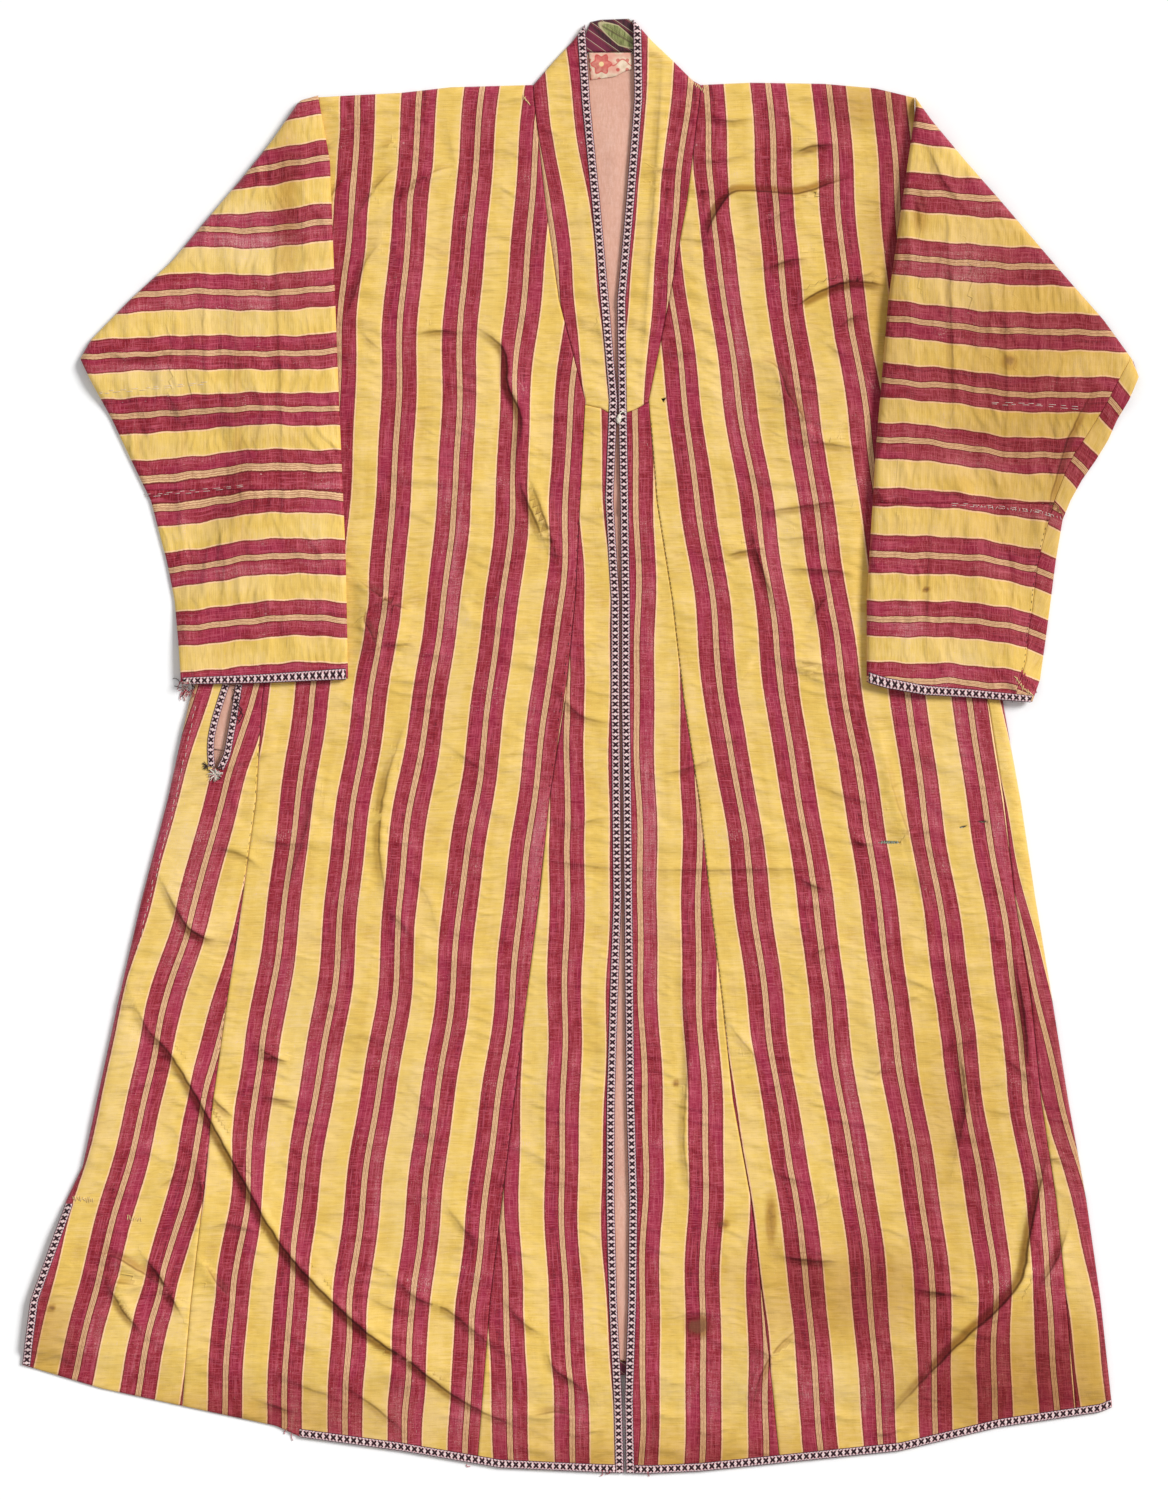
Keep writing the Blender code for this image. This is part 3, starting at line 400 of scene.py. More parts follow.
# ---- How the folded sleeves stand up: at their inner edge, and over their middle ----
SLEEVE_EDGE_RISE = {"left": 1.6, "right": 6.0}
SLEEVE_CROWN = {"left": 3.4, "right": 4.0}
FOLD_RADIUS = 5.5
CUFF_FULLNESS = 0.35
FULL_FROM = 0.22
FLATTER_FROM = 0.75
LEAST_WALL = 0.12
LEAST_ARCH = 0.06
CREASE_FREE = {"side": 14.0, "fold": 16.0}
DEEPEST_CREASE = -0.8
SLEEVE_CREASES = {
    "left": (
        (1.6, 6, 1, ((-393, 330), (-392, 270), (-388, 215))),
        (1.7, 6, 1, ((-354, 420), (-352, 330), (-350, 230), (-345, 120))),
        (1.3, 5, -1, ((-330, 440), (-331, 360), (-327, 270))),
        (2.0, 7, 1, ((-307, 470), (-304, 380), (-303, 250), (-298, 110))),
        (1.5, 6, -1, ((-268, 500), (-266, 390), (-262, 300), (-262, 180))),
        (1.5, 6, 1, ((-242, 540), (-238, 420), (-236, 280))),
        (1.2, 5, 1, ((-228, 200), (-226, 130), (-224, 80))),
        (2.0, 9, -1, ((-425, 352), (-400, 342), (-370, 345), (-335, 355))),
        (1.4, 7, 1, ((-290, 520), (-262, 470), (-238, 448))),
        (1.3, 6, 1, ((-374, 376), (-366, 330), (-372, 296))),
        (1.2, 6, -1, ((-320, 210), (-312, 160), (-316, 110))),
        (1.1, 6, 1, ((-274, 150), (-270, 110), (-274, 78))),
        (1.5, 7, 1, ((-360, 352), (-340, 322), (-330, 300))),
        (1.2, 6, -1, ((-290, 330), (-280, 300), (-284, 262))),
    ),
    "right": (
        (3.0, 9, 1, ((460, 330), (440, 296), (427, 268), (414, 222), (404, 160))),
        (1.8, 6, -1, ((322, 480), (326, 400), (328, 330), (330, 250))),
        (1.7, 6, 1, ((345, 470), (350, 380), (352, 300))),
        (1.5, 6, -1, ((372, 440), (374, 370), (376, 300), (372, 230))),
        (1.4, 6, 1, ((290, 500), (292, 400), (290, 300), (284, 210))),
        (1.5, 6, -1, ((310, 200), (306, 140), (305, 80))),
        (1.6, 7, 1, ((352, 190), (350, 130), (354, 80))),
        (1.3, 5, -1, ((384, 180), (380, 120), (376, 70))),
        (1.8, 8, -1, ((300, 545), (318, 500), (340, 470))),
        (1.4, 6, 1, ((404, 420), (408, 360), (404, 300))),
        (1.2, 6, 1, ((336, 440), (338, 410), (334, 380))),
        (1.3, 6, -1, ((358, 420), (362, 390), (358, 350))),
        (1.1, 5, 1, ((306, 460), (308, 430), (304, 404))),
        (1.2, 6, 1, ((318, 190), (322, 150), (318, 116))),
        (1.3, 7, -1, ((392, 400), (396, 370), (392, 330))),
        (1.1, 6, 1, ((270, 250), (272, 200), (268, 150))),
    ),
}
SLEEVE_CREASE_GAIN = 0.6
SLEEVE_WAVER = 0.7

# ---- Stains, with broad darker places that are painted shade, and worn places, partly painted sheen: place X and Y, reach across and along, amount ----
STAINS_AND_PAINTED_SHADE = (
    (104, -509, 10, 8, 1.0), (126, -419, 5, 4, 0.8), (168, -416, 5, 22, 0.6), (84.5, -295, 3, 3, 0.7),
    (304, 138.6, 2.6, 1.3, 1.3), (377.5, 338.8, 8, 8, 0.7),
    (-465, -493, 3.2, 3.2, 0.9), (362, 318, 14, 10, 0.35), (299, 470, 9, 24, 0.4), (340, 350, 6, 20, 0.25),
    (-52, 200, 12, 40, 0.1), (70, -150, 14, 50, 0.12), (-210, -150, 18, 40, 0.12), (90, 40, 8, 60, 0.12),
    (262, 350, 12, 50, 0.2), (-160, 300, 16, 60, 0.1), (230, -470, 20, 40, 0.2),
    # From here on the rows are broad and paint shade: darker towards the hem and its corners, down the right
    # side and over the right sleeve, at the right shoulder and along the sleeves' inner edges, and over the
    # left sleeve lower down.
    (390, -560, 140, 80, 0.36), (-300, -590, 200, 34, 0.28), (90, -635, 280, 40, 0.3),
    (460, -260, 70, 220, 0.3), (240, -480, 130, 60, 0.3), (390, 320, 150, 260, 0.26),
    (270, 400, 30, 160, 0.26), (-470, -520, 40, 60, 0.28), (330, -330, 70, 150, 0.2),
    (452, -572, 60, 44, 0.32), (-258, 480, 14, 90, 0.3), (255, 566, 50, 30, 0.28),
    (290, 562, 10, 14, 0.45), (-300, 200, 22, 80, 0.16), (-60, -606, 130, 26, 0.18),
)
# Paler places: fading and wear, and on the upper left sleeve painted sheen, the pale glare on its maroon
# stripes.
FADES_AND_PAINTED_SHEEN = (
    (-290, 440, 60, 26, 0.9), (-300, 385, 50, 16, 0.8), (-372, 322, 40, 18, 0.8),
    (-235, 190, 16, 60, 0.5), (-300, 150, 60, 14, 0.5), (345, 418, 34, 46, 0.9),
    (360, 250, 60, 12, 0.6), (340, 79, 18, 16, 0.8), (405, 205, 30, 20, 0.6),
    (-90, 380, 20, 60, 0.4), (140, 330, 20, 80, 0.5), (-40, -100, 16, 200, 0.4),
    (60, -80, 14, 220, 0.6), (-250, -250, 40, 90, 0.5), (330, 0, 40, 60, 0.5),
    (-400, -280, 20, 90, 0.6), (420, -400, 26, 90, 0.6), (200, -560, 120, 26, 0.6),
    (-150, -590, 160, 24, 0.6), (-420, -520, 50, 26, 0.6), (290, 110, 10, 30, 0.5),
    (180, 190, 14, 60, 0.6), (-150, -350, 24, 120, 0.5), (250, -300, 22, 110, 0.5),
    (-350, -100, 24, 110, 0.8), (-115, 140, 12, 100, 0.7), (-330, 470, 60, 14, 0.8),
)

# ---- Steps between the points of the finished meshes ----
FRONT_STEP = (3.0, 3.0)
BACK_STEP = (9.0, 9.0)
LINING_STEP = (8.0, 8.0)
NECK_STEP = (3.0, 2.5)
BRAID_STEP = (1.5, 1.8)
SEAM_OFFSETS = (0.0, 0.5, 1.4)
SEAM_CROWN = (0.4, 0.8, 1.0)
FOLD_OFFSETS = (0.0, 0.4, 1.3, 3.0, 5.5)
GRID_PASSES = 14
SLEEVE_PASSES = 5
# Steps across and up each sleeve piece.
SLEEVE_STEPS = {"lower": (63, 53), "upper": (63, 103), "strip": (7, 150)}
# Across a braid on a cuff: place and share of its thickness. Across a ribbon: that share.
CUFF_PROFILE = (
    (-0.6, 0.35), (0.2, 0.8), (1.4, 1.0), (3.0, 1.0), (4.6, 1.0), (6.2, 1.0), (7.0, 0.8), (7.5, 0.35),
)
RIBBON_CROWN = (0.35, 0.85, 1.0, 1.0, 1.0, 0.85, 0.35)

# ---- The looks: colours are from 0 to 255 ----
# The texture coordinate node's output that gives the place on the object.
OBJECT_PLACE = 3
TAN, TAN_PALE, TAN_EDGE = (186, 138, 102), (240, 196, 150), (118, 40, 40)
MAROON, DARK_EDGE = (148, 26, 42), (132, 52, 44)
YELLOW, PEACH = (237, 200, 106), (250, 204, 156)
# The warp's colours from one tan line, at 0, to half a stripe repeat away, at 1.
STRIPE_COLOURS = (
    (0.0, TAN), (0.012, TAN), (0.02, TAN_PALE), (0.036, TAN_PALE), (0.042, TAN), (0.054, TAN),
    (0.06, TAN_PALE), (0.08, TAN_PALE), (0.09, TAN_EDGE), (0.108, TAN_EDGE),
    (0.122, MAROON), (0.53, MAROON), (0.545, DARK_EDGE), (0.57, DARK_EDGE), (0.58, PEACH),
    (0.616, PEACH), (0.632, YELLOW), (1.0, YELLOW),
)
# The spans in which one colour gives way to the next, in stripe repeats from the tan line.
TAN_END, MAROON_START, MAROON_END = (0.036, 0.044), (0.057, 0.065), (0.264, 0.272)
YELLOW_START, YELLOW_INSIDE = (0.287, 0.293), (0.308, 0.318)
# Crumples in the cloth's bump: spacing, reach and height.
CRUMPLES = ((34.0, 60.0, 1.5), (15.0, 34.0, 0.85), (8.5, 20.0, 0.32))
LEAF_PLACE = (0.0335, 0.6255)
FLOWER_PLACE, FLOWER_RADIUS, FLOWER_PETALS = (0.0185, 0.6), 0.0084, 6.0
BRAID_FIGURE, BRAID_DASH, BRAID_PLY = 5.95, 2.9, 1.1
# Each thread's two colours, and its roughness where it isn't the usual one.
THREAD_COLOURS = {
    "button_cord": ((238, 232, 218), (206, 196, 176)),
    "white_thread": ((238, 226, 214), (206, 184, 172)),
    "dark_thread": ((44, 26, 30), (26, 16, 20)),
    "red_thread": ((196, 70, 84), (140, 34, 52)),
    "cream_thread": ((236, 208, 150), (204, 172, 112)),
    "green_thread": ((170, 196, 176), (104, 130, 116)),
    "wadding": ((206, 214, 190), (70, 74, 60), 0.95),
    # hole_shade is painted shadow: the dark seen through the moth hole.
    "hole_shade": ((40, 30, 22), (26, 20, 14), 0.95),
}

# ---- Sewing: each kind of thread with its radius, finish and slot ----
SEWING_SEED = 11
ABOVE_ROBE = 60.0
THREADS = {
    "white": (0.34, "white_thread", "button_cord"), "fine": (0.2, "white_thread", "button_cord"),
    "dark": (0.3, "dark_thread", "dark_silk"), "seams": (0.18, "dark_thread", "dark_silk"),
    "red": (0.32, "red_thread", "braid"), "cream": (0.36, "cream_thread", "button_cord"),
    "green": (0.34, "green_thread", "braid"),
}
MENDS = (
    ((-425, 312), (-380, 316), (-326, 321)), ((-384, 222), (-340, 226), (-290, 231)),
    ((362, 303), (400, 302), (438, 299)), ((326, 214), (370, 212), (404, 208), (424, 202)),
)
# Stitches beside a seam: thread, seam, offset from it, heights passed, length, gap and sway.
SEAM_STITCHES = (
    ("fine", "side_left", 7.0, (36, 0, -46, -90, -134, -180), 4.2, 2.4, 0.45),
    ("seams", "insert_right", 0.8, (286, 218, 130, 42, -46, -134, -222, -266), 3.0, 1.6, 0.1),
    ("seams", "gore_left", -0.8, (20, -46, -134, -222, -310, -398), 2.4, 6.0, 0.1),
    ("seams", "insert_left", -0.8, (280, 130, -46, -222, -398), 2.4, 7.0, 0.1),
)
# Darns: thread, path, step along it, and reach across it.
JOIN_DARNS = (
    ("fine", ((346, 213), (404, 208), (424, 202)), 3.4, 2.0),
    ("red", ((350, 213), (396, 209), (426, 204)), 5.0, 2.4),
)
CORNER_DARNS = (
    ("cream", ((383, 62), (390, 52), (398, 47)), 1.9, 2.6),
    ("red", ((388, 66), (398, 56), (402, 50)), 1.2, 4.0),
    ("cream", ((-446, -396), (-428, -398)), 1.6, 3.0), ("cream", ((-398, -413), (-386, -415)), 2.0, 2.4),
    ("cream", ((-50, 573), (-44, 566)), 1.6, 3.0), ("cream", ((100, 585), (110, 578)), 1.8, 2.6),
)
# Loose threads: loops at the pocket, ends at the hem (place, way and length), and ends at a tear.
POCKET_LOOPS = (
    ((-306, 52), (-300, 47), (-303, 40), (-297, 34), (-300, 27), (-305, 31)),
    ((-303, 50), (-307, 43), (-301, 38), (-305, 30), (-299, 23)),
    ((-298, 45), (-302, 36), (-296, 29), (-301, 21)),
)
HEM_THREADS = (
    ((-252, -600), 4.0, 13.0), ((-256, -598), 3.5, 10.0), ((-100, -631), 4.9, 6.0),
    ((20, -636), 4.6, 8.0), ((26, -637), 5.0, 7.0), ((60, -637), 4.4, 6.0),
)
TEAR_THREADS = (((262.5, -83.5), 0.2), ((275.0, -82.2), 3.4), ((280.0, -83.8), 2.4))
BUTTON_LOOP = ((0.2, 3.6, 2.0), (1.4, 5.4, 1.6), (3.2, 6.4, 0.9), (5.0, 6.0, 0.5), (6.4, 5.0, 0.3))

# ---- Tears: place, tilt, half width and half height. The moth hole: its corners ----
CUT_DEPTH = 30.0
PATCH_DROP, PATCH_THICKNESS = 0.9, 0.6
TEARS = (
    ((272.0, -83.0), 0.0, 9.5, 1.1), ((336.5, -69.5), 0.25, 3.0, 0.8), ((354.0, -65.0), 0.0, 4.0, 0.7),
)
MOTH_HOLE = ((71.3, 307.4), (75.7, 307.9), (73.2, 304.2))

# ---- The studio, in metres: the camera looks straight down ----
FLOOR_REACH, FLOOR_HEIGHT, SKY_STRENGTH = 40.0, -0.0004, 0.45
# Each sun: energy, softness, and its tilt about X and Y in degrees.
SUNS = (("key", 3.0, 22.0, (-22.0, 46.0)), ("fill", 0.22, 50.0, (-10.0, -45.0)))
LENS, EYE_DISTANCE, PICTURE_LONG_SIDE = 150.0, 5.5, 1.32
EYE_PLACE, EYE_RISE = (0.0032, -0.0037), 0.006

FINISH = {}


# ================================ Reading the tables ================================
def stacked(*axes):
    """Numbers side by side, for each place."""
    return np.stack(np.broadcast_arrays(*axes), axis=-1)


def across(table, x):
    """Height Y of an edge at place X."""
    places, heights = zip(*table)
    return np.interp(x, places, heights)


def seam(name, y):
    """Place X of a seam or edge at height Y."""
    rows = np.array(SEAM_ROWS)
    return np.interp(y, rows[:, 0], rows[:, SEAM_COLUMNS.index(name)])


def upright(table, offset=0.0):
    """Place X of an upright edge at height Y, and this far to its right."""
    rows = np.array(sorted((y, x) for x, y in table), float)
    return lambda y: np.interp(y, rows[:, 0], rows[:, 1]) + offset


def carried_on(value, places, values):
    """Reads a table smoothly between its rows, and carries its end slopes on beyond them."""
    places, values = np.asarray(places, float), np.asarray(values, float)
    slopes = np.gradient(values, places)
    inside = np.clip(value, places[0], places[-1])
    index = np.clip(np.searchsorted(places, inside) - 1, 0, len(places) - 2)
    step = places[index + 1] - places[index]
    share = (inside - places[index]) / step
    rise = values[index + 1] - values[index]
    leave, arrive = slopes[index] * step, slopes[index + 1] * step
    curve = values[index] + share * (leave + share * (3 * rise - 2 * leave - arrive
                                                      + share * (leave + arrive - 2 * rise)))
    below = np.minimum(value - places[0], 0.0) * slopes[0]
    above = np.maximum(value - places[-1], 0.0) * slopes[-1]
    return curve + below + above


def smooth(value):
    value = np.clip(value, 0.0, 1.0)
    return value * value * (3.0 - 2.0 * value)


def between(span, value):
    """Eases from 0 to 1 as the value goes from the span's first number to its second."""
    return smooth((value - span[0]) / (span[1] - span[0]))


def rolled(distance):
    """Share of its full height that a layer has at this distance from its folded edge."""
    share = np.clip(distance / ROLL_WIDTH, 0.0, 1.0)
    return np.sqrt(1.0 - (1.0 - share) ** 2)


def along(path, share):
    """Places X and Y at these shares of a path's length."""
    points = np.array(path, float)
    steps = np.hypot(*np.diff(points, axis=0).T)
    reach = np.concatenate([[0.0], np.cumsum(steps)]) / steps.sum()
    return np.interp(share, reach, points[:, 0]), np.interp(share, reach, points[:, 1])


def nearest(path, x, y):
    """Distance from each place to a path, positive on its left, the share of the path there, and
    the way to the path's left."""
    best = np.full(np.shape(x), 1e9)
    place, left_x, left_y = (np.zeros(np.shape(x)) for _ in range(3))
    for index, (start, end) in enumerate(zip(path[:-1], path[1:])):
        run_x, run_y = end[0] - start[0], end[1] - start[1]
        run = math.hypot(run_x, run_y)
        share = ((x - start[0]) * run_x + (y - start[1]) * run_y) / run**2
        share = np.clip(share, 0.0, 1.0)
        off_x = x - start[0] - share * run_x
        off_y = y - start[1] - share * run_y
        gap = np.hypot(off_x, off_y)
        side = np.where(run_x * off_y - run_y * off_x < 0.0, -1.0, 1.0)
        closer = gap < np.abs(best)
        best = np.where(closer, gap * side, best)
        place = np.where(closer, (index + share) / (len(path) - 1), place)
        left_x = np.where(closer, -run_y / run, left_x)
        left_y = np.where(closer, run_x / run, left_y)
    return best, place, left_x, left_y


def to_frame(points):
    return (np.asarray(points, float) - ROBE_MIDDLE) * MM


# ================================ How the cloth lies ================================
def curved(rows, gain=1.0):
    """The same creases, with more points along their paths, on a smooth curve."""
    made = []
    for height, width, steep, path in rows:
        count = len(path)
        shares = np.linspace(0.0, count - 1.0, CREASE_POINTS * (count - 1) + 1)
        points = [carried_on(shares, np.arange(count), axis) for axis in zip(*path)]
        made.append((gain * height, width, steep, tuple(zip(*points))))
    return made


def near_crease(row, x, y):
    """Which places a crease touches, with what nearest() says there."""
    points = np.array(row[3], float)
    reach = CREASE_REACH * row[1]
    near = (x > points[:, 0].min() - reach) & (x < points[:, 0].max() + reach)
    near &= (y > points[:, 1].min() - reach) & (y < points[:, 1].max() + reach)
    return near, nearest(row[3], x[near], y[near]) if near.any() else None


def fading(place):
    """A crease's share of its height along its path."""
    return np.sin(np.pi * (0.04 + 0.92 * place)) ** 0.8


def crease(row, x, y):
    """One crease: a ridge that rises softly and drops steeply, with a trough at the drop's foot."""
    height, width, steep, _ = row
    lift = np.zeros(np.shape(x))
    near, found = near_crease(row, x, y)
    if found is None:
        return lift
    gap, place = found[0] * steep, found[1]
    drop = max(STEEP_SHARE * width, LEAST_DROP)
    ridge = np.exp(-((gap / np.where(gap > 0.0, drop, SOFT_SHARE * width)) ** 2))
    trough = TROUGH_DEPTH * np.exp(-(((gap - 2.6 * drop) / (1.1 * drop)) ** 2))
    lift[near] = height * fading(place) * (ridge - trough)
    return lift


def crease_lines(rows, x, y):
    """Distance from each place to the nearest crease's crest, and that crease's height."""
    distance = np.full(np.shape(x), FAR_FROM_CREASE)
    height = np.zeros(np.shape(x))
    for row in rows:
        near, found = near_crease(row, x, y)
        if found is None:
            continue
        gap = found[0] * row[2]
        closer = np.abs(gap) < np.abs(distance[near])
        close = 1.0 - between(CREST_REACH, np.abs(gap))
        distance[near] = np.where(closer, gap, distance[near])
        height[near] = np.where(closer, row[0] * fading(found[1]) * close, height[near])
    return stacked(distance, height)


def pulled(rows, x, y):
    """The place on the flat cloth that lies at each place, where creases take cloth up."""
    flat_x = x + 1.0 * np.sin(y / 37.0 + x / 90.0) + 0.6 * np.sin(y / 17.0 + 1.3 + x / 60.0)
    flat_y = y + 0.9 * np.sin(x / 31.0 + y / 120.0)
    for row in rows:
        near, found = near_crease(row, x, y)
        if found is None or row[0] < LEAST_PULL:
            continue
        gap, place, left_x, left_y = found
        amount = PULL * row[0] * fading(place) * np.tanh(gap / row[1])
        amount *= np.exp(-((gap / (2.2 * row[1])) ** 2))
        flat_x[near] += amount * left_x
        flat_y[near] += amount * left_y
    return flat_x, flat_y


def small_creases():
    """Small creases scattered over the fronts, mostly lying across the robe."""
    random = np.random.default_rng(SMALL_CREASE_SEED)
    rows = []
    for _ in range(SMALL_CREASES):
        x, y = (random.uniform(*span) for span in SMALL_CREASE_PLACES)
        turn = random.normal(0.12 * math.copysign(1.0, x), 0.5)
        half = random.uniform(*SMALL_CREASE_HALF)
        bend = random.normal(0.0, 0.16) * half
        run = np.array((math.cos(turn), math.sin(turn)))
        cross = np.array((-run[1], run[0]))
        start, end = (x, y) - half * run, (x, y) + half * run
        middle = (x, y) + bend * cross
        height = random.uniform(0.4, 1.0) ** 2 * 1.9
        rows.append((height, random.uniform(*SMALL_CREASE_WIDTH), -1, (start, middle, end)))
    return rows


FRONT_CREASES = [*curved(CREASES, CREASE_GAIN), *curved(small_creases())]


def relief(x, y):
    """How far creases and swells lift the fronts."""
    lift = np.zeros(np.shape(x))
    for place_x, place_y, reach_x, reach_y, height in SWELLS:
        lift += height * np.exp(-(((x - place_x) / reach_x) ** 2) - ((y - place_y) / reach_y) ** 2)
    for row in FRONT_CREASES:
        lift += crease(row, x, y)
    return lift


def open_share(x, y):
    """1 where the fronts lie open, and 0 where a folded sleeve presses them flat."""
    share = 1.0
    for side, sign in zip(SIDES, (-1.0, 1.0)):
        beyond = sign * (x - upright(SLEEVE_EDGES[side]["inner"])(y))
        above = y - across(sorted(SLEEVE_EDGES[side]["cuff"]), x)
        share = share * (1.0 - between((-PRESS, -1.0), beyond) * between((-PRESS, -1.0), above))
    return share


def side_share(x, y):
    """Share of their height that the fronts keep near the side edges, where they turn down."""
    turned_left = between(TURN_LEFT, y) * between(TURN_LEFT_SLIT, y)
    left = 1.0 - turned_left * (1.0 - rolled(x - seam("side_left", y)))
    right = 1.0 - between(TURN_RIGHT, y) * (1.0 - rolled(seam("side_right", y) - x))
    return left * right


def pocket_height(x, y):
    away = np.hypot((x - POCKET_CENTRE[0]) / POCKET_REACH[0], (y - POCKET_CENTRE[1]) / POCKET_REACH[1])
    return POCKET_RISE * (1.0 - between((POCKET_FLAT, 1.0), away))


def front_under(x, y):
    """Height of the underside of the fronts and the collar bands."""
    share = side_share(x, y) * rolled(across(TOP_OUTLINE, x) - y)
    back_edge = across(BACK_HEM, x) - HEM_CLEARANCE
    room = np.minimum(back_edge - across(HEM, x) - BRAID_WIDTH, HEM_DROP)
    on_back = 1.0 - smooth((back_edge - y) / room)
    lift = np.maximum(LOFT + relief(x, y), 0.0) * open_share(x, y)
    lift *= HEM_LIFT + (1.0 - HEM_LIFT) * on_back
    return share * (on_back * FRONT_Z + lift) + pocket_height(x, y)


def front_top(x, y):
    return front_under(x, y) + FRONT_CLOTH


# ================================ The stripes on each panel ================================
def counted(lines, value, before=STRIPE_REPEAT, after=STRIPE_REPEAT):
    """Repeats of the stripe up to each value, where lines are the places of the tan lines.

    Beyond the lines given, the next is before or after them, and then the cloth's own repeat.
    """
    spare = range(7)
    first = [lines[0] - before - STRIPE_REPEAT * step for step in reversed(spare)]
    last = [lines[-1] + after + STRIPE_REPEAT * step for step in spare]
    places = [*first, *lines, *last]
    count = np.full(np.shape(value), -float(len(first)))
    for near, far in zip(places[:-1], places[1:]):
        count += np.clip((value - near) / (far - near), 0.0, 1.0)
    return count


def panel_stripes(name):
    """Stripe count and distance along the warp on one panel, from its table."""
    first, step, table = STRIPES[name]

    def place(x, y):
        x, y = pulled(FRONT_CREASES, x, y)
        rows = (first - step * np.arange(len(table[0])))[::-1]
        lines = [carried_on(y, rows, np.array(line)[::-1]) for line in table]
        return stacked(counted(lines, x), y)

    return place


def straight_stripes(start):
    """Upright stripes, with a tan line at this place."""
    return lambda x, y: stacked((x - start) / STRIPE_REPEAT, y)


def sleeve_stripes(side, part):
    table = SLEEVE_STRIPES[side + "_" + part]
    places = SLEEVE_STRIPE_PLACES[side]
    spans = (STRIPE_REPEAT, JOIN_REPEAT) if part == "upper" else (JOIN_REPEAT, STRIPE_REPEAT)

    def place(x, y):
        y = y + SLEEVE_WAVER * np.sin(x / 5.2 + y / 31.0) * np.sin(x / 17.0 + 1.0 - y / 23.0)
        x, y = pulled(SLEEVE_CREASES[side], x, y)
        lines = [-carried_on(x, places, np.array(line, float)) for line in table]
        return stacked(counted(lines, -y, *spans), x)

    return place


def strip_stripes(x, y):
    """The underarm strip's stripes, which slant from its seam to its outer edge."""
    start = np.interp(y, *zip(*STRIP_SEAM))
    end = np.maximum(upright(SLEEVE_EDGES["right"]["outer"])(y), start + 2.0)
    share = np.clip((x - start) / (end - start), 0.0, 1.0)

    def counts(part):
        lines = [-(low + share * (high - low)) for low, high in STRIP_STRIPES[part]]
        return counted(lines, -y)

    join = SLEEVE_JOIN["right"] - 12.0 * share
    return stacked(np.where(y > join, counts("upper"), counts("lower")), x - 0.4 * y)


def wear_and_painted_light(x, y):
    """How stained and how worn the cloth is, with painted shade in the broad darker places and painted sheen
    in some of the paler ones.
    """
    amounts = []
    for table in (STAINS_AND_PAINTED_SHADE, FADES_AND_PAINTED_SHEEN):
        amount = np.zeros(np.shape(x))
        for place_x, place_y, reach_x, reach_y, most in table:
            away = ((x - place_x) / reach_x) ** 2 + ((y - place_y) / reach_y) ** 2
            amount = np.maximum(amount, most * np.exp(-away))
        amounts.append(amount)
    return stacked(*amounts)


# ================================ Making meshes ================================
def linked(name, points, faces, finishes=()):
    """An object in the scene, made of points in the frame's metres, in these finishes."""
    mesh = bpy.data.meshes.new(name)
    mesh.from_pydata(np.asarray(points).tolist(), [], faces)
    for finish in finishes:
        mesh.materials.append(FINISH[finish])
    made = bpy.data.objects.new(name, mesh)
    bpy.context.scene.collection.objects.link(made)
    return made


def piece(name, points, faces, finishes, slots=None, uvs=()):
    """A smooth object made of points in millimetres and four-cornered faces."""
    made = linked(name, to_frame(points), faces.tolist(), finishes)
    for layer, values in dict(uvs).items():
        uv = made.data.uv_layers.new(name=layer)
        uv.data.foreach_set("uv", values[faces.ravel()].astype(np.float32).ravel())
    if slots is not None and len(finishes) > 1:
        made.data.polygons.foreach_set("material_index", slots.astype(np.int32))
    made.data.shade_smooth()
    made.data.update()
    return made


def ordered(faces, backwards=False):
    """Four-cornered faces from four arrays of points, as rows."""
    faces = stacked(*(corner.ravel() for corner in faces))
    return faces[:, ::-1] if backwards else faces


def volume(points, faces):
    first, second, third, fourth = (points[faces[:, corner]] for corner in range(4))
    around = np.cross(second - first, third - first) + np.cross(third - first, fourth - first)
    return float((around * first).sum())


def shell(name, outer, inner, cloth, finishes, wrap=False, closed_end=False, creases=()):
    """A wall of cloth between two grids of points, closed all round.

    cloth holds the stripe count and the place along the warp at each point. With wrap, the last
    column joins the first. With closed_end, the last row's two halves are joined to each other.
    """
    rows, columns = outer.shape[:2]
    points = np.concatenate([outer.reshape(-1, 3), inner.reshape(-1, 3)])
    front = np.arange(rows * columns).reshape(rows, columns)
    if wrap:
        front = np.concatenate([front, front[:, :1]], axis=1)
    back = front + rows * columns

    def grid(index, backwards):
        return ordered((index[:-1, :-1], index[:-1, 1:], index[1:, 1:], index[1:, :-1]), backwards)

    faces, hidden = [grid(front, False)], [grid(back, True)]
    rims = [ordered((front[0, 1:], front[0, :-1], back[0, :-1], back[0, 1:]))]
    if closed_end:
        near = np.arange(columns // 2 - 1)
        corners = (near, near + 1, columns - 2 - near, columns - 1 - near)
        faces.append(ordered([front[-1, index] for index in corners]))
        hidden.append(ordered([back[-1, index] for index in corners], True))
        if not wrap:
            rims.append(np.array([[front[-1, 0], front[-1, -1], back[-1, -1], back[-1, 0]]]))
    else:
        rims.append(ordered((front[-1, :-1], front[-1, 1:], back[-1, 1:], back[-1, :-1])))
    if not wrap:
        rims.append(ordered((front[:-1, 0], front[1:, 0], back[1:, 0], back[:-1, 0])))
        rims.append(ordered((front[1:, -1], front[:-1, -1], back[:-1, -1], back[1:, -1])))
    shown, unseen = np.concatenate(faces + rims), np.concatenate(hidden)
    faces = np.concatenate([shown, unseen])
    slots = np.repeat([0, 1], [len(shown), len(unseen)])
    if volume(points, faces) < 0.0:
        faces = faces[:, ::-1]
    uvs = {
        "cloth": np.tile(cloth.reshape(-1, 2), (2, 1)),
        "wear_and_painted_light": wear_and_painted_light(points[:, 0], points[:, 1]),
        "crease": crease_lines(creases, points[:, 0], points[:, 1]),
    }
    return piece(name, points, faces, finishes, slots, uvs)


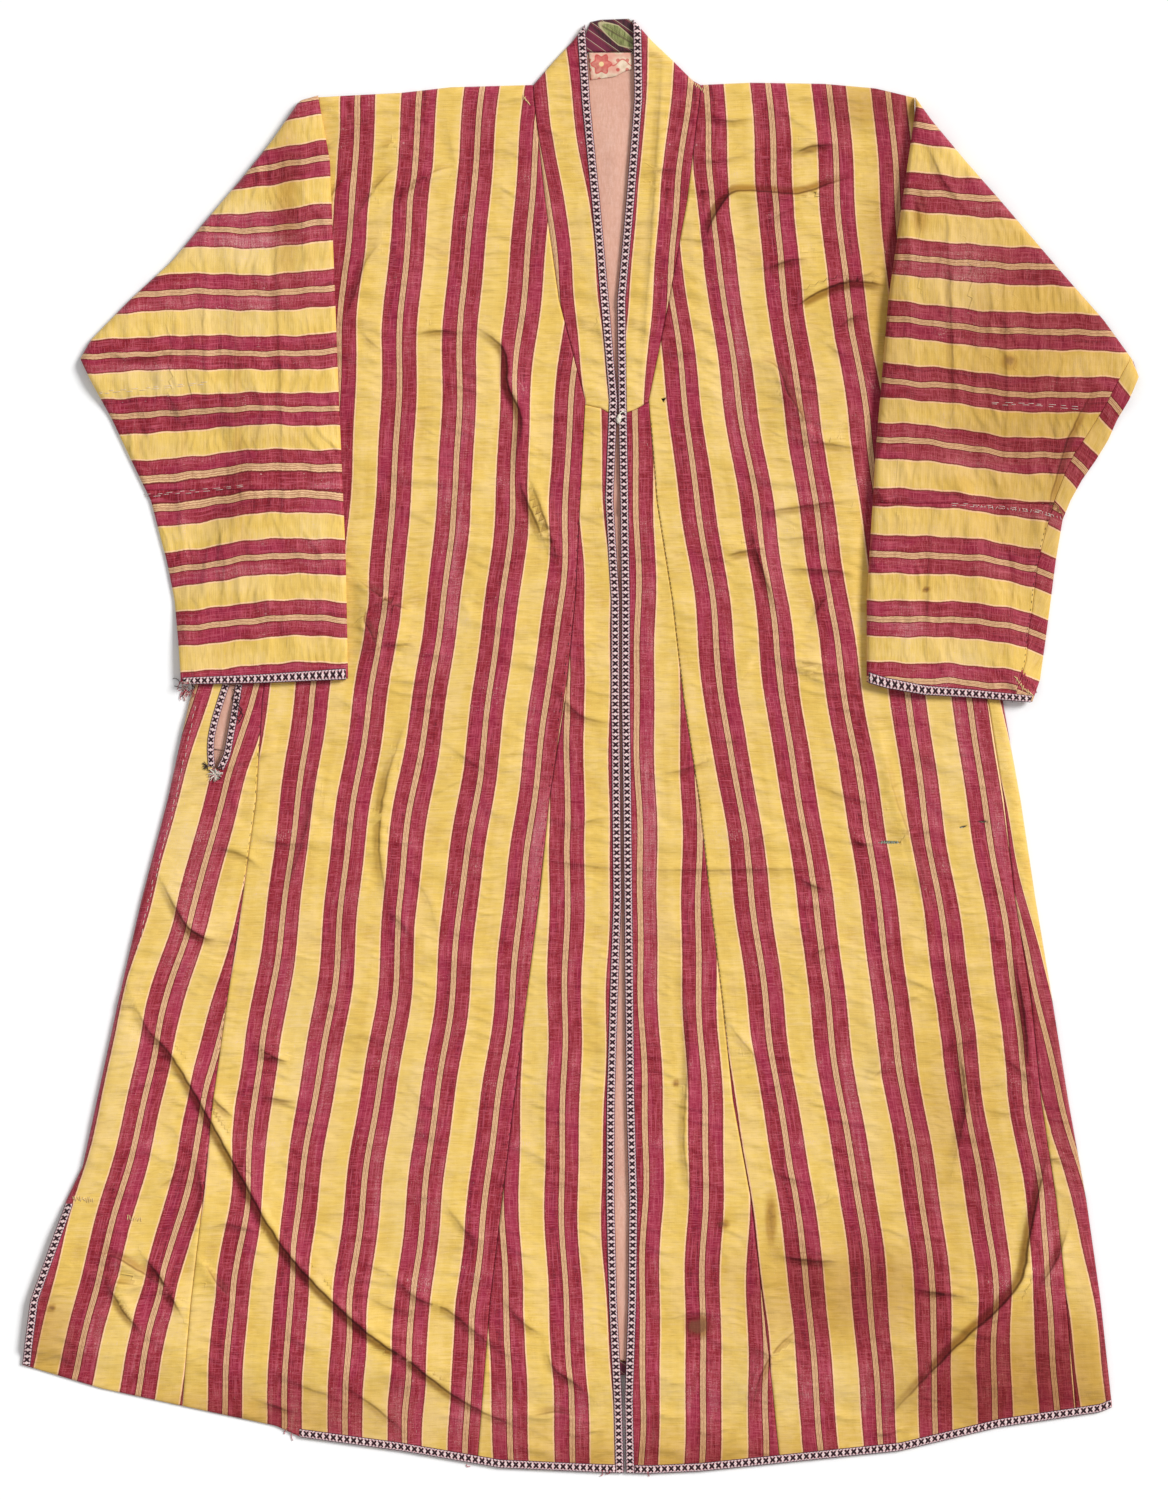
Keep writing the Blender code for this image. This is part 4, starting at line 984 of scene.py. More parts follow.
def lines(count, near, far, inset=0.0):
    """Places along one way of a grid: shares of its length, offsets from its ends, and crown.

    An end is a "seam", where the cloth's edge dips, or a "fold", where the cloth turns over.
    """
    ends = {
        "seam": (np.array(SEAM_OFFSETS), np.array(SEAM_CROWN)),
        "fold": (np.array(FOLD_OFFSETS) + inset, np.ones(len(FOLD_OFFSETS))),
    }
    (start, start_crown), (end, end_crown) = ends[near], ends[far]
    share = np.concatenate([np.zeros(len(start)), np.arange(1, count) / count, np.ones(len(end))])
    offset = np.concatenate([start, np.zeros(count - 1), -end[::-1]])
    crown = np.concatenate([start_crown, np.ones(count - 1), end_crown[::-1]])
    return share, offset, crown


def fitted(offset, room, count):
    """Offsets drawn in where there is too little room for them."""
    return offset * np.minimum(1.0, 0.8 * room / (count * np.abs(offset).max()))


def panel_grid(left, right, bottom, top, step):
    """Places X and Y of a flat panel between its four edges, and its crown at each place."""
    def solve(counts):
        columns = lines(counts[0], "seam", "seam")
        rows = [values[:, None] for values in lines(counts[1], "seam", "seam")]
        x = np.full((len(rows[0]), len(columns[0])), 0.5 * (left(0.0) + right(0.0)))
        for _ in range(GRID_PASSES):
            low, high = bottom(x), top(x)
            y = low + rows[0] * (high - low) + fitted(rows[1], high - low, counts[1])
            start, end = left(y), right(y)
            x = start + columns[0] * (end - start) + fitted(columns[1], end - start, counts[0])
        return x, y, rows[2] * columns[2]

    size = flat_size(*solve((4, 4))[:2])
    return solve([max(2, round(reach / spacing)) for reach, spacing in zip(size, step)])


def flat_size(x, y):
    """Greatest width and length of a grid of places, between its own edges."""
    return (x[:, -1] - x[:, 0]).max(), (y[-1] - y[0]).max()


def flat_area(x, y):
    """Area of a grid of places, seen from above."""
    first = (x[1:, 1:] - x[:-1, :-1]) * (y[1:, :-1] - y[:-1, 1:])
    second = (x[1:, :-1] - x[:-1, 1:]) * (y[1:, 1:] - y[:-1, :-1])
    return float(np.abs(first - second).sum() / 2.0)


def stand_for(made, slot, *nodes):
    """Carries a piece with the robe, in place of these solids. The slot is not used."""
    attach(made, "root")
    if nodes:
        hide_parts(*nodes)


SHEETS = []


def laid(made, size, area, rests_on):
    """Notes a piece's cut size in millimetres, for declare_sheets()."""
    SHEETS.append((made, size, area, rests_on))
    return made


def declare_sheets(trims):
    """Works out the cut size of every noted piece of cloth and looks up the trims sewn on to it, but passes
    them on nowhere.
    """
    for made, size, area, rests_on in SHEETS:
        width, length = (side * MM for side in size)
        area = min(area * MM * MM, width * length)
        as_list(trims.get(made.name, []))


def panel(node, edges, under, thickness, stripes, step, finishes, rests_on):
    """One flat panel of the robe, in place of its solid, in a finish for each side."""
    x, y, crown = panel_grid(*edges, step)
    low = under(x, y)
    creases = FRONT_CREASES if under is front_under else ()
    made = shell(node + "_cloth", stacked(x, y, low + thickness * crown), stacked(x, y, low),
                 stripes(x, y), finishes, creases=creases)
    stand_for(made, finishes[0], node)
    return laid(made, flat_size(x, y), flat_area(x, y), [rests_on])


def level(value):
    """An edge at this place all along."""
    return lambda place: value + 0.0 * place


def raised_by(table, rise=0.0):
    """An edge at the heights in a table, and this far above them."""
    return lambda x: across(table, x) + rise


def beside(name, offset=0.0):
    """An edge this far to the right of a seam."""
    return lambda y: seam(name, y) + offset


# ================================ Materials ================================
def colour(red, green, blue):
    """A colour given as on a screen, from 0 to 255, in the renderer's own numbers."""
    def opened(value):
        value = value / 255.0
        return value / 12.92 if value <= 0.04045 else ((value + 0.055) / 1.055) ** 2.4

    return (opened(red), opened(green), opened(blue), 1.0)


class Signal:
    """What one node of a material gives at each place. Arithmetic with it adds Math nodes."""

    def __init__(self, graph, socket):
        self.graph = graph
        self.socket = socket

    def math(self, operation, other=0.0, swapped=False):
        """This and another number in one Math node, with the other first where they are swapped."""
        first, second = (other, self) if swapped else (self, other)
        return self.graph.node("Math", {0: first, 1: second}, operation=operation)

    def __add__(self, other):
        return self.math("ADD", other)

    def __sub__(self, other):
        return self.math("SUBTRACT", other)

    def __rsub__(self, other):
        return self.math("SUBTRACT", other, swapped=True)

    def __mul__(self, other):
        return self.math("MULTIPLY", other)

    def __truediv__(self, other):
        return self.math("DIVIDE", other)

    def __abs__(self):
        return self.math("ABSOLUTE")

    __radd__ = __add__
    __rmul__ = __mul__

    def rises(self, low, high):
        """Eases from 0 to 1 as this goes from low to high."""
        return self.graph.node("MapRange", {0: self, 1: low, 2: high, 3: 0.0, 4: 1.0},
                               interpolation_type="SMOOTHSTEP")

    def falls(self, low, high):
        """Eases from 1 to 0 as this goes from low to high."""
        return 1.0 - self.rises(low, high)

    def most(self, other):
        return self.math("MAXIMUM", other)

    def sine(self):
        return self.math("SINE")

    def folded(self):
        """Distance from this to the nearest whole number."""
        return self.math("PINGPONG", 0.5)


class Graph:
    """Short calls for a material's nodes."""

    def __init__(self, name, roughness, specular=0.3, sheen=0.0, sheen_roughness=0.5):
        self.material = bpy.data.materials.new(name)
        self.material.use_nodes = True
        self.nodes = self.material.node_tree.nodes
        self.links = self.material.node_tree.links
        self.shader = self.nodes["Principled BSDF"]
        self.shader.inputs["Roughness"].default_value = roughness
        self.shader.inputs["Specular IOR Level"].default_value = specular
        self.shader.inputs["Sheen Weight"].default_value = sheen
        self.shader.inputs["Sheen Roughness"].default_value = sheen_roughness

    def put(self, socket, value):
        if isinstance(value, Signal):
            self.links.new(value.socket, socket)
        else:
            socket.default_value = value

    def node(self, kind, inputs=(), output=0, **settings):
        made = self.nodes.new("ShaderNode" + kind)
        for key, value in settings.items():
            setattr(made, key, value)
        for key, value in dict(inputs).items():
            self.put(made.inputs[key], value)
        return Signal(self, made.outputs[output])

    def mix(self, share, first, second, blend="MIX"):
        return self.node("Mix", {0: share, 6: first, 7: second}, 2, data_type="RGBA", blend_type=blend)

    def ramp(self, value, *stops):
        """A colour between these stops, each a place and a colour from 0 to 255."""
        made = self.node("ValToRGB", {0: value})
        elements = made.socket.node.color_ramp.elements
        while len(elements) > 1:
            elements.remove(elements[-1])
        elements[0].position, elements[0].color = stops[0][0], colour(*stops[0][1])
        for place, shade in stops[1:]:
            elements.new(place).color = colour(*shade)
        return made

    def noise(self, x, y, z=0.0, detail=2.0, roughness=0.5):
        """Noise with about one mark to the unit of each number."""
        vector = self.node("CombineXYZ", {0: x, 1: y, 2: z})
        return self.node("TexNoise", {"Vector": vector, "Scale": 1.0, "Detail": detail,
                                      "Roughness": roughness})

    def marks(self, scale, detail=2.0, roughness=0.5):
        """Noise over the robe, at this many marks to the metre each way."""
        place = self.node("TexCoord", output=OBJECT_PLACE)
        vector = self.node("Mapping", {"Vector": place, "Scale": scale})
        return self.node("TexNoise", {"Vector": vector, "Scale": 1.0, "Detail": detail,
                                      "Roughness": roughness})

    def split(self, vector):
        """The first two numbers of a vector."""
        first = self.node("SeparateXYZ", {0: vector})
        return first, Signal(self, first.socket.node.outputs[1])

    def uv(self, layer):
        return self.split(self.node("UVMap", uv_map=layer))

    def place(self):
        """The place X and Y on the robe, in the object's own metres."""
        return self.split(self.node("TexCoord", output=OBJECT_PLACE))

    def finish(self, base, height, depth, strength, roughness=None):
        """The finished material, with bump from a height, where 1 is this deep in metres."""
        self.put(self.shader.inputs["Base Color"], base)
        if roughness is not None:
            self.put(self.shader.inputs["Roughness"], roughness)
        bump = self.node("Bump", {"Strength": strength, "Distance": depth, "Height": height})
        self.put(self.shader.inputs["Normal"], bump)
        return self.material


def weave(across_threads, along_threads):
    """Height of a plain weave, from -1 to 1, by counts of threads each way."""
    return (across_threads * math.tau).sine() * (along_threads * math.tau).sine()


def crumple(graph, across_cloth, along_cloth, spacing, reach, height):
    """Short creases across the cloth, in millimetres: each rises softly and drops steeply."""
    def noise(across_scale, along_scale, shift):
        return graph.noise(across_cloth / across_scale, along_cloth / along_scale, shift, 0.0)

    bent = 3.0 * noise(1.6 * reach, 6.0 * spacing, 0.0)
    step = ((0.1 / spacing) * across_cloth + bent - along_cloth / spacing).math("FRACT")
    ridge = step.rises(0.05, 0.6) * step.falls(0.6, 0.95)
    here = noise(0.8 * reach, 1.6 * spacing, 7.3).rises(0.42, 0.72)
    return ridge * here * height


def striped_cloth():
    """Warp-faced striped cotton and silk: yellow and maroon bands, and fine tan lines."""
    graph = Graph("striped_cloth", 0.56, 0.2, 0.06, 0.42)
    u, v = graph.uv("cloth")
    stain_and_shade, fade_and_sheen = graph.uv("wear_and_painted_light")
    breadth = u * STRIPE_REPEAT

    def streaks(across_scale, along_scale, detail=2.0, shift=0.0):
        """Noise whose marks are about this long across and along the cloth, in millimetres."""
        return graph.noise(breadth / across_scale, v / along_scale, shift, detail, 0.6)

    def tinted(base, share, shade, blend="MIX"):
        return graph.mix(share, base, colour(*shade), blend)

    # The warp's colours, by the distance from the nearest tan line in stripe repeats.
    near = (u + 0.014 * (streaks(6.0, 2.0) - 0.5)).folded()
    profile = graph.ramp(near * 2.0, *STRIPE_COLOURS)
    maroon_share = near.rises(*MAROON_START) * near.falls(*MAROON_END)
    yellow_share = near.rises(*YELLOW_START)
    half = u.math("FRACT").rises(0.42, 0.58)

    warp, warp_fine = streaks(2.4, 60.0), streaks(0.8, 14.0)
    weft, weft_fine = streaks(30.0, 1.4), streaks(14.0, 0.75)
    bands, clouds = streaks(11.0, 170.0), streaks(46.0, 30.0, 3.0, 4.0)
    grain = streaks(1.3, 1.1, 2.0, 9.0) - 0.5

    # Maroon silk: dark and pale streaks, partly fading and partly painted sheen, with the two halves of each
    # repeat a little apart in tone; cooler and redder patches, and pale worn threads.
    streak = (0.5 * warp + 0.5 * warp_fine + 0.65 * weft_fine + 0.7 * grain + 0.65 * bands
              + 0.3 * clouds - 0.04 * half + 0.26 * fade_and_sheen)
    silk = graph.ramp(streak - 0.82, (0.2, (100, 18, 32)), (0.42, MAROON), (0.62, (174, 72, 82)),
                      (0.9, (214, 148, 150)))
    patch = streaks(20.0, 70.0, 3.0, 21.0)
    silk = tinted(silk, 0.5 * patch.rises(0.48, 0.62), (160, 30, 74))
    silk = tinted(silk, 0.45 * (1.0 - patch).rises(0.48, 0.64), (134, 18, 32))
    pale_warp = streaks(1.0, 24.0, 2.0, 17.0).rises(0.5, 0.66)
    pale_weft = streaks(12.0, 1.0, 2.0, 19.0).rises(0.51, 0.66)
    silk = tinted(silk, 0.55 * pale_warp.most(pale_weft), (210, 100, 120))
    base = graph.mix(0.9 * maroon_share, profile, silk)
    flecks = streaks(1.1, 3.0, 2.0, 23.0).rises(0.45, 0.62) * near.falls(*TAN_END)
    base = tinted(base, 0.42 * flecks, (174, 116, 80))

    # Yellow cotton: clouded, with paler and deeper threads across it.
    tone = 0.62 * clouds + 0.3 * weft + 0.28 * weft_fine + 0.14 * grain + 0.25 * bands + 0.1 * fade_and_sheen
    cotton = graph.ramp(tone - 0.23, (0.24, (204, 156, 70)), (0.4, (223, 184, 92)), (0.54, YELLOW),
                        (0.74, (243, 209, 140)))
    hue = 0.45 * streaks(20.0, 2.4, 2.0, 13.0) + 0.55 * streaks(22.0, 60.0, 2.0, 15.0)
    cotton = tinted(cotton, 0.4 * hue.rises(0.46, 0.6), (246, 210, 146))
    cotton = tinted(cotton, 0.4 * (1.0 - hue).rises(0.5, 0.62), (229, 188, 80))
    base = graph.mix(0.85 * (yellow_share * near.rises(*YELLOW_INSIDE)), base, cotton)

    # Painted shade of hairline creases: thin dark lines along the weft. Then wear: pale flecks, and worn
    # yellow.
    base = tinted(base, 0.26 * streaks(15.0, 0.8, 2.0, 2.0).rises(0.6, 0.7), (172, 128, 74), "MULTIPLY")
    least = 0.72 - 0.12 * fade_and_sheen.most(clouds.rises(0.5, 0.75))
    fleck = graph.noise(60.0 * u, 0.9 * v).most(streaks(1.0, 5.0)) - least
    base = tinted(base, 0.5 * fleck.rises(0.0, 0.06), (232, 196, 186))
    base = tinted(base, 0.2 * (fade_and_sheen * yellow_share), (240, 220, 176))

    # Creases, painted shade: a dark line at the foot of each crest and a soft shade beyond it, where the
    # bump casts no shadow of its own. Then the stains, whose broad darker places are painted shade as well.
    crest, rise = graph.uv("crease")
    crest = crest + 2.4 * (streaks(14.0, 14.0, 1.0, 5.0) - 0.5)
    firm = 0.9 * rise.rises(0.8, 3.4)
    base = tinted(base, abs(crest - 0.6).falls(0.1, 1.5) * firm, (172, 152, 124), "MULTIPLY")
    base = tinted(base, abs(crest - 3.4).falls(0.2, 7.0) * firm, (184, 158, 118), "MULTIPLY")
    base = tinted(base, stain_and_shade.rises(0.0, 0.42), (208, 190, 162), "MULTIPLY")
    blotch = graph.marks((130.0, 130.0, 130.0), 3.0, 0.6)
    stained = (0.9 * blotch + (1.25 * stain_and_shade - 1.15)).rises(-0.28, 0.25)
    base = tinted(base, 0.62 * stained, (112, 72, 48))

    woven = weave(u * 82.0, v * 1.35)
    base = tinted(base, 0.05 * woven + 0.05, (60, 36, 36))
    height = 0.03 * woven + 0.12 * warp_fine + 0.16 * weft_fine + 0.22 * weft + 2.6 * clouds
    for spacing, reach, tall in CRUMPLES:
        height = height + crumple(graph, breadth, v, spacing, reach, tall)
    height = height + crest.falls(-0.8, 2.4) * crest.rises(-9.0, -1.0) * (0.34 * rise)
    return graph.finish(base, height, MM, 1.0, 0.24 * warp + 0.42 - 0.06 * fade_and_sheen)


def lining_cotton():
    """Peach cotton with a fine pinkish fleck in it."""
    graph = Graph("lining_cotton", 0.85, 0.15, 0.15)
    base = graph.ramp(graph.marks((700.0, 160.0, 300.0), 2.0, 0.6), (0.3, (222, 170, 148)),
                      (0.5, (228, 178, 157)), (0.7, (233, 187, 168)))
    cloud = graph.marks((34.0, 20.0, 20.0), 3.0)
    base = graph.mix(0.5 * cloud.rises(0.35, 0.75), base, colour(214, 158, 138))
    x, y = graph.place()
    rumples = 2.6 * graph.marks((22.0, 60.0, 30.0), 3.0, 0.55) + 0.91 * graph.marks((90.0, 210.0, 90.0))
    return graph.finish(base, 0.2 * weave(x * 1400.0, y * 1400.0) + rumples, 0.0006, 0.7)


def dark_silk():
    """Dark maroon silk with slanting cream lines and one green leaf shape."""
    graph = Graph("dark_silk", 0.42, 0.4, 0.3, 0.35)
    x, y = graph.place()
    slant = 118.0 * y + 84.0 * x
    thin = slant.folded().falls(0.022, 0.05)
    twin = (slant + 0.17).folded().falls(0.02, 0.045)
    threads = graph.marks((1500.0, 130.0, 50.0))
    base = graph.ramp(threads, (0.35, (34, 14, 20)), (0.55, (70, 22, 36)), (0.75, (98, 34, 50)))
    corner = -1.2 * x + (0.6425 - y)
    base = graph.mix(0.7 * corner.rises(-0.006, 0.002), base, colour(124, 34, 66))
    base = graph.mix(0.75 * thin, base, colour(206, 186, 158))
    base = graph.mix(0.7 * twin, base, colour(150, 60, 66))
    leaf_x = 56.0 * (x - LEAF_PLACE[0])
    leaf_y = 112.0 * (y - LEAF_PLACE[1]) + 1.15 * leaf_x
    away = abs(leaf_x) + leaf_y * leaf_y
    green = graph.ramp(threads, (0.3, (86, 90, 46)), (0.5, (132, 138, 78)), (0.7, (160, 160, 108)))
    vein = abs(leaf_y).falls(0.05, 0.14).most(twin).most(0.6 * thin)
    green = graph.mix(0.6 * vein, green, colour(74, 40, 38))
    green = graph.mix(0.6 * away.rises(0.76, 0.86), green, colour(208, 190, 150))
    return graph.finish(graph.mix(away.falls(0.95, 1.05), base, green), threads, 0.0003, 0.6)


def printed_cotton():
    """Faded cream cotton with a round red flower, a wavy stem, small buds and dots."""
    graph = Graph("printed_cotton", 0.85, 0.15, 0.1)
    x, y = graph.place()
    weathered = graph.marks((300.0, 300.0, 50.0), 3.0)
    wash = graph.marks((70.0, 90.0, 50.0))
    base = graph.ramp(weathered, (0.35, (214, 188, 160)), (0.65, (234, 214, 188)))
    base = graph.mix(0.8 * wash.rises(0.38, 0.6), base, colour(222, 150, 134))
    red = graph.ramp(weathered, (0.35, (186, 58, 60)), (0.7, (214, 104, 96)))

    across_x, across_y = x - FLOWER_PLACE[0], y - FLOWER_PLACE[1]
    away = (across_x * across_x + across_y * across_y).math("POWER", 0.5)
    petal = (across_y.math("ARCTAN2", across_x) * FLOWER_PETALS).math("COSINE")
    inside = 0.0014 * petal + FLOWER_RADIUS - away
    flower = inside.rises(-0.0003, 0.0005)
    ring = flower * inside.falls(0.0012, 0.0018)
    heart = (0.0022 - away).rises(-0.0002, 0.0003)
    stem = abs((y - 0.6015) - 0.0028 * (x * 380.0).sine())
    stem = stem.falls(0.0004, 0.0009) * away.rises(0.009, 0.0095)
    buds_x, buds_y = (121.0 * x).folded(), (121.0 * y).folded()
    buds = (buds_x * buds_x + buds_y * buds_y).falls(0.03, 0.05) * away.rises(0.0095, 0.01)
    base = graph.mix(0.75 * flower, base, red)
    base = graph.mix(0.7 * ring, base, red)
    base = graph.mix(heart, base, colour(232, 204, 150))
    base = graph.mix(0.8 * stem.most(buds), base, red)
    return graph.finish(base, weathered, 0.0003, 0.5)


def braid():
    """Loop-braided edging: dark crosses between white stars, with a pale line down each side."""
    graph = Graph("braid", 0.7, 0.25, 0.15)
    u, v = graph.uv("cloth")
    side = abs(2.9 * (u - 0.5))
    reach = 2.0 * abs((v / BRAID_FIGURE).math("FRACT") - 0.5)
    jitter = graph.noise(6.0 * u, 1.6 * v)
    wander = 0.35 * (jitter - 0.5)
    cross = abs(side - 1.2 * reach) - (wander + 0.42)
    crossed = cross.falls(0.0, 0.12) * reach.falls(0.66, 0.76)
    star = side + 1.5 * (1.0 - reach)
    base = graph.ramp(jitter, (0.3, (206, 132, 146)), (0.5, (228, 182, 184)), (0.7, (242, 216, 212)))
    base = graph.mix((star + wander).falls(0.5, 0.7), base, colour(250, 240, 234))
    base = graph.mix(0.85 * star.falls(0.14, 0.3), base, colour(206, 78, 108))
    dark = graph.ramp(jitter, (0.42, (20, 10, 16)), (0.72, (66, 18, 32)))
    base = graph.mix(crossed, base, dark)
    dashes = (v * (math.tau / BRAID_DASH)).sine().rises(-0.9, -0.3)
    dashed = graph.mix(dashes, colour(120, 70, 84), colour(244, 228, 230))
    base = graph.mix(side.rises(0.98, 1.04), base, dashed)
    outermost = graph.ramp(jitter, (0.42, (58, 26, 38)), (0.66, (132, 62, 78)))
    base = graph.mix(side.rises(1.16, 1.22), base, outermost)
    slanted = ((v + 0.8 * side) * (math.tau / BRAID_PLY)).sine()
    return graph.finish(base, 0.35 * slanted + 0.6 * jitter + 0.4 * crossed, 0.0005, 0.9)


def thread(name, shade, other, roughness=0.75):
    """Twisted cotton thread or cord."""
    graph = Graph(name, roughness, 0.2, 0.2)
    strand = graph.marks((900.0, 1200.0, 900.0))
    return graph.finish(graph.ramp(strand, (0.35, other), (0.6, shade)), strand, 0.0002, 0.8)


def floor_paint():
    """Pale paint, a little uneven."""
    graph = Graph("studio_floor", 0.9, 0.1)
    shade = graph.ramp(graph.marks((3.0, 3.0, 3.0)), (0.0, (245.81,) * 3), (1.0, (249.31,) * 3))
    graph.put(graph.shader.inputs["Base Color"], shade)
    return graph.material


# ================================ The fronts, back and neck ================================
def flat_at(height):
    """The height of a layer that lies flat."""
    return lambda x, y: np.full(np.shape(x), height)


def between_seams(side, outer, inner):
    """A panel's two upright edges, the left one first, drawn in by half a gap from each seam."""
    names = (outer, inner) if side == "left" else (inner, outer)
    return [beside(name + "_" + side, 0.0 if name in FREE_EDGES else sign * HALF_GAP)
            for name, sign in zip(names, (1.0, -1.0))]


def fronts():
    """The lengths, side gores, inserts and collar bands of both fronts."""
    hem, outline, made = raised_by(HEM), raised_by(TOP_OUTLINE), {}
    for kind, outer, inner in (("front", "gore", "insert"), ("side_gore", "side", "gore"),
                               ("front_insert", "insert", "edge"), ("collar", "insert", "edge")):
        for side in SIDES:
            ends = {
                "front": (hem, raised_by(SHOULDER[side])),
                "side_gore": (hem, level(GORE_TOP[side])),
                "front_insert": (hem, raised_by(COLLAR_END[side], -HALF_GAP)),
                "collar": (raised_by(COLLAR_END[side], HALF_GAP), outline),
            }
            node = kind + "_" + side
            edges = (*between_seams(side, outer, inner), *ends[kind])
            made[node] = panel(node, edges, front_under, FRONT_CLOTH, panel_stripes(node), FRONT_STEP,
                               ("striped_cloth", "lining_cotton"), "lining_back_cloth")
    return made


def backs():
    """The back panels and gores, which the table carries, with the striped side down."""
    left, right = BACK_GORE_TOP["left"], BACK_GORE_TOP["right"]
    for node, start, end, top, stripes in (
        ("back_left", beside("gore_left", HALF_GAP), level(CENTRE_BACK - HALF_GAP),
         raised_by(BACK_TOP), straight_stripes(CENTRE_BACK - 0.5 * STRIPE_REPEAT)),
        ("back_right", level(CENTRE_BACK + HALF_GAP), beside("gore_right", -HALF_GAP),
         raised_by(BACK_TOP), straight_stripes(CENTRE_BACK + 0.5 * STRIPE_REPEAT)),
        ("back_gore_left", beside("side_left", BACK_INSET), beside("gore_left", -HALF_GAP),
         level(left), panel_stripes("side_gore_left")),
        ("back_gore_right", beside("gore_right", HALF_GAP), beside("side_right", -BACK_INSET),
         level(right), panel_stripes("side_gore_right")),
    ):
        panel(node, (start, end, raised_by(BACK_HEM), top), flat_at(0.0), BACK_CLOTH, stripes,
              BACK_STEP, ("striped_cloth", "striped_cloth"), "floor")


def lining_under(x, y):
    """The back's lining, slack where it shows at the neck."""
    from_left, from_right = x - seam("edge_left", y), seam("edge_right", y) - x
    shown = between(LINING_SHOWN, from_left) * between(LINING_SHOWN, from_right)
    opening = between(LINING_OPENING, from_left) * between(LINING_OPENING, from_right)
    opening *= 1.0 - between(LINING_SLACK_TOP, y)
    lift = sum(crease(row, x, y) for row in LINING_CREASES)
    return LINING_Z + LINING_LOFT * opening + np.maximum(lift, 0.0) * shown


def facing_under(x, y):
    return LINING_Z * rolled(across(TOP_OUTLINE, x) - y)


def patch_under(x, y):
    return FRONT_Z + 0.15 + np.maximum(crease(PATCH_CREASE, x, y), 0.0)


def neck_and_lining():
    """The lining, its hem band, the collar's back and facing, and the printed patch."""
    sides = beside("side_left", LINING_INSET), beside("side_right", -LINING_INSET)
    collar = [level(place) for place in COLLAR_BACK_SPAN]
    facing = [level(place) for place in FACING_SPAN]
    patch = beside("edge_left", 1.5), beside("edge_right", -1.5)
    for node, edges, under, thickness, stripes, step, finish, rests_on in (
        ("lining_back", (*sides, raised_by(BACK_HEM, HEM_FACING + 1.0), raised_by(LINING_TOP)),
         lining_under, LINING_CLOTH, straight_stripes(0.0), LINING_STEP, "lining_cotton", "back_left_cloth"),
        ("hem_band_back", (*sides, raised_by(BACK_HEM), raised_by(BACK_HEM, HEM_FACING)),
         flat_at(LINING_Z), LINING_CLOTH, straight_stripes(0.0), (8.0, 3.0), "dark_silk", "back_left_cloth"),
        ("collar_back", (*collar, level(NECK_SEAM), raised_by(TOP_OUTLINE, -ROLL_WIDTH - BACK_INSET)),
         flat_at(0.0), BACK_CLOTH, straight_stripes(10.0), (5.0, 4.0), "striped_cloth", "floor"),
        ("collar_facing", (*facing, level(NECK_SEAM), raised_by(FACING_TOP)),
         facing_under, LINING_CLOTH, straight_stripes(0.0), NECK_STEP, "dark_silk", "collar_back_cloth"),
        ("neck_patch", (*patch, raised_by(PATCH_BOTTOM), level(NECK_SEAM - 1.0)),
         patch_under, LINING_CLOTH, straight_stripes(0.0), NECK_STEP, "printed_cotton", "lining_back_cloth"),
    ):
        panel(node, edges, under, thickness, stripes, step, (finish, finish), rests_on)


# ================================ The sleeves ================================
def sleeve_place(side, c, r):
    """Places on a sleeve at shares across (from its inner edge) and up (from its cuff)."""
    edges = SLEEVE_EDGES[side]
    parts = []
    for axis in (0, 1):
        lengthwise = (1 - r) * along(edges["cuff"], c)[axis] + r * along(edges["fold"], c)[axis]
        crosswise = (1 - c) * along(edges["inner"], r)[axis] + c * along(edges["outer"], r)[axis]
        low = (1 - c) * edges["cuff"][0][axis] + c * edges["cuff"][-1][axis]
        high = (1 - c) * edges["fold"][0][axis] + c * edges["fold"][-1][axis]
        parts.append(lengthwise + crosswise - (1 - r) * low - r * high)
    return parts


def sleeve_reach(side, near, far, share):
    """Distance between two edges of a sleeve at this share along them."""
    (near_x, near_y), (far_x, far_y) = (along(SLEEVE_EDGES[side][name], share) for name in (near, far))
    return np.hypot(far_x - near_x, far_y - near_y)


def sleeve_width(side, r):
    return sleeve_reach(side, "inner", "outer", r)


def sleeve_length(side, c):
    return sleeve_reach(side, "cuff", "fold", c)


def underarm(side):
    """The edge from the armpit to the outer end of a sleeve's fold."""
    armpit = (float(seam("side_" + side, ARMPIT_Y)), ARMPIT_Y)
    return sorted((armpit, SLEEVE_EDGES[side]["fold"][-1]))


def sleeve_under(side, x, y):
    """Height of the underside of a folded sleeve."""
    beneath = across(underarm(side), x) - y
    beyond = seam("side_left", y) - x if side == "left" else x - seam("side_right", y)
    outside = np.minimum(beneath, beyond) - SLEEVE_OVERHANG
    gap = np.abs(nearest(SLEEVE_EDGES[side]["fold"], x, y)[0])
    return SLEEVE_Z * rolled(gap) * (1.0 - smooth(outside / SLEEVE_DROP))


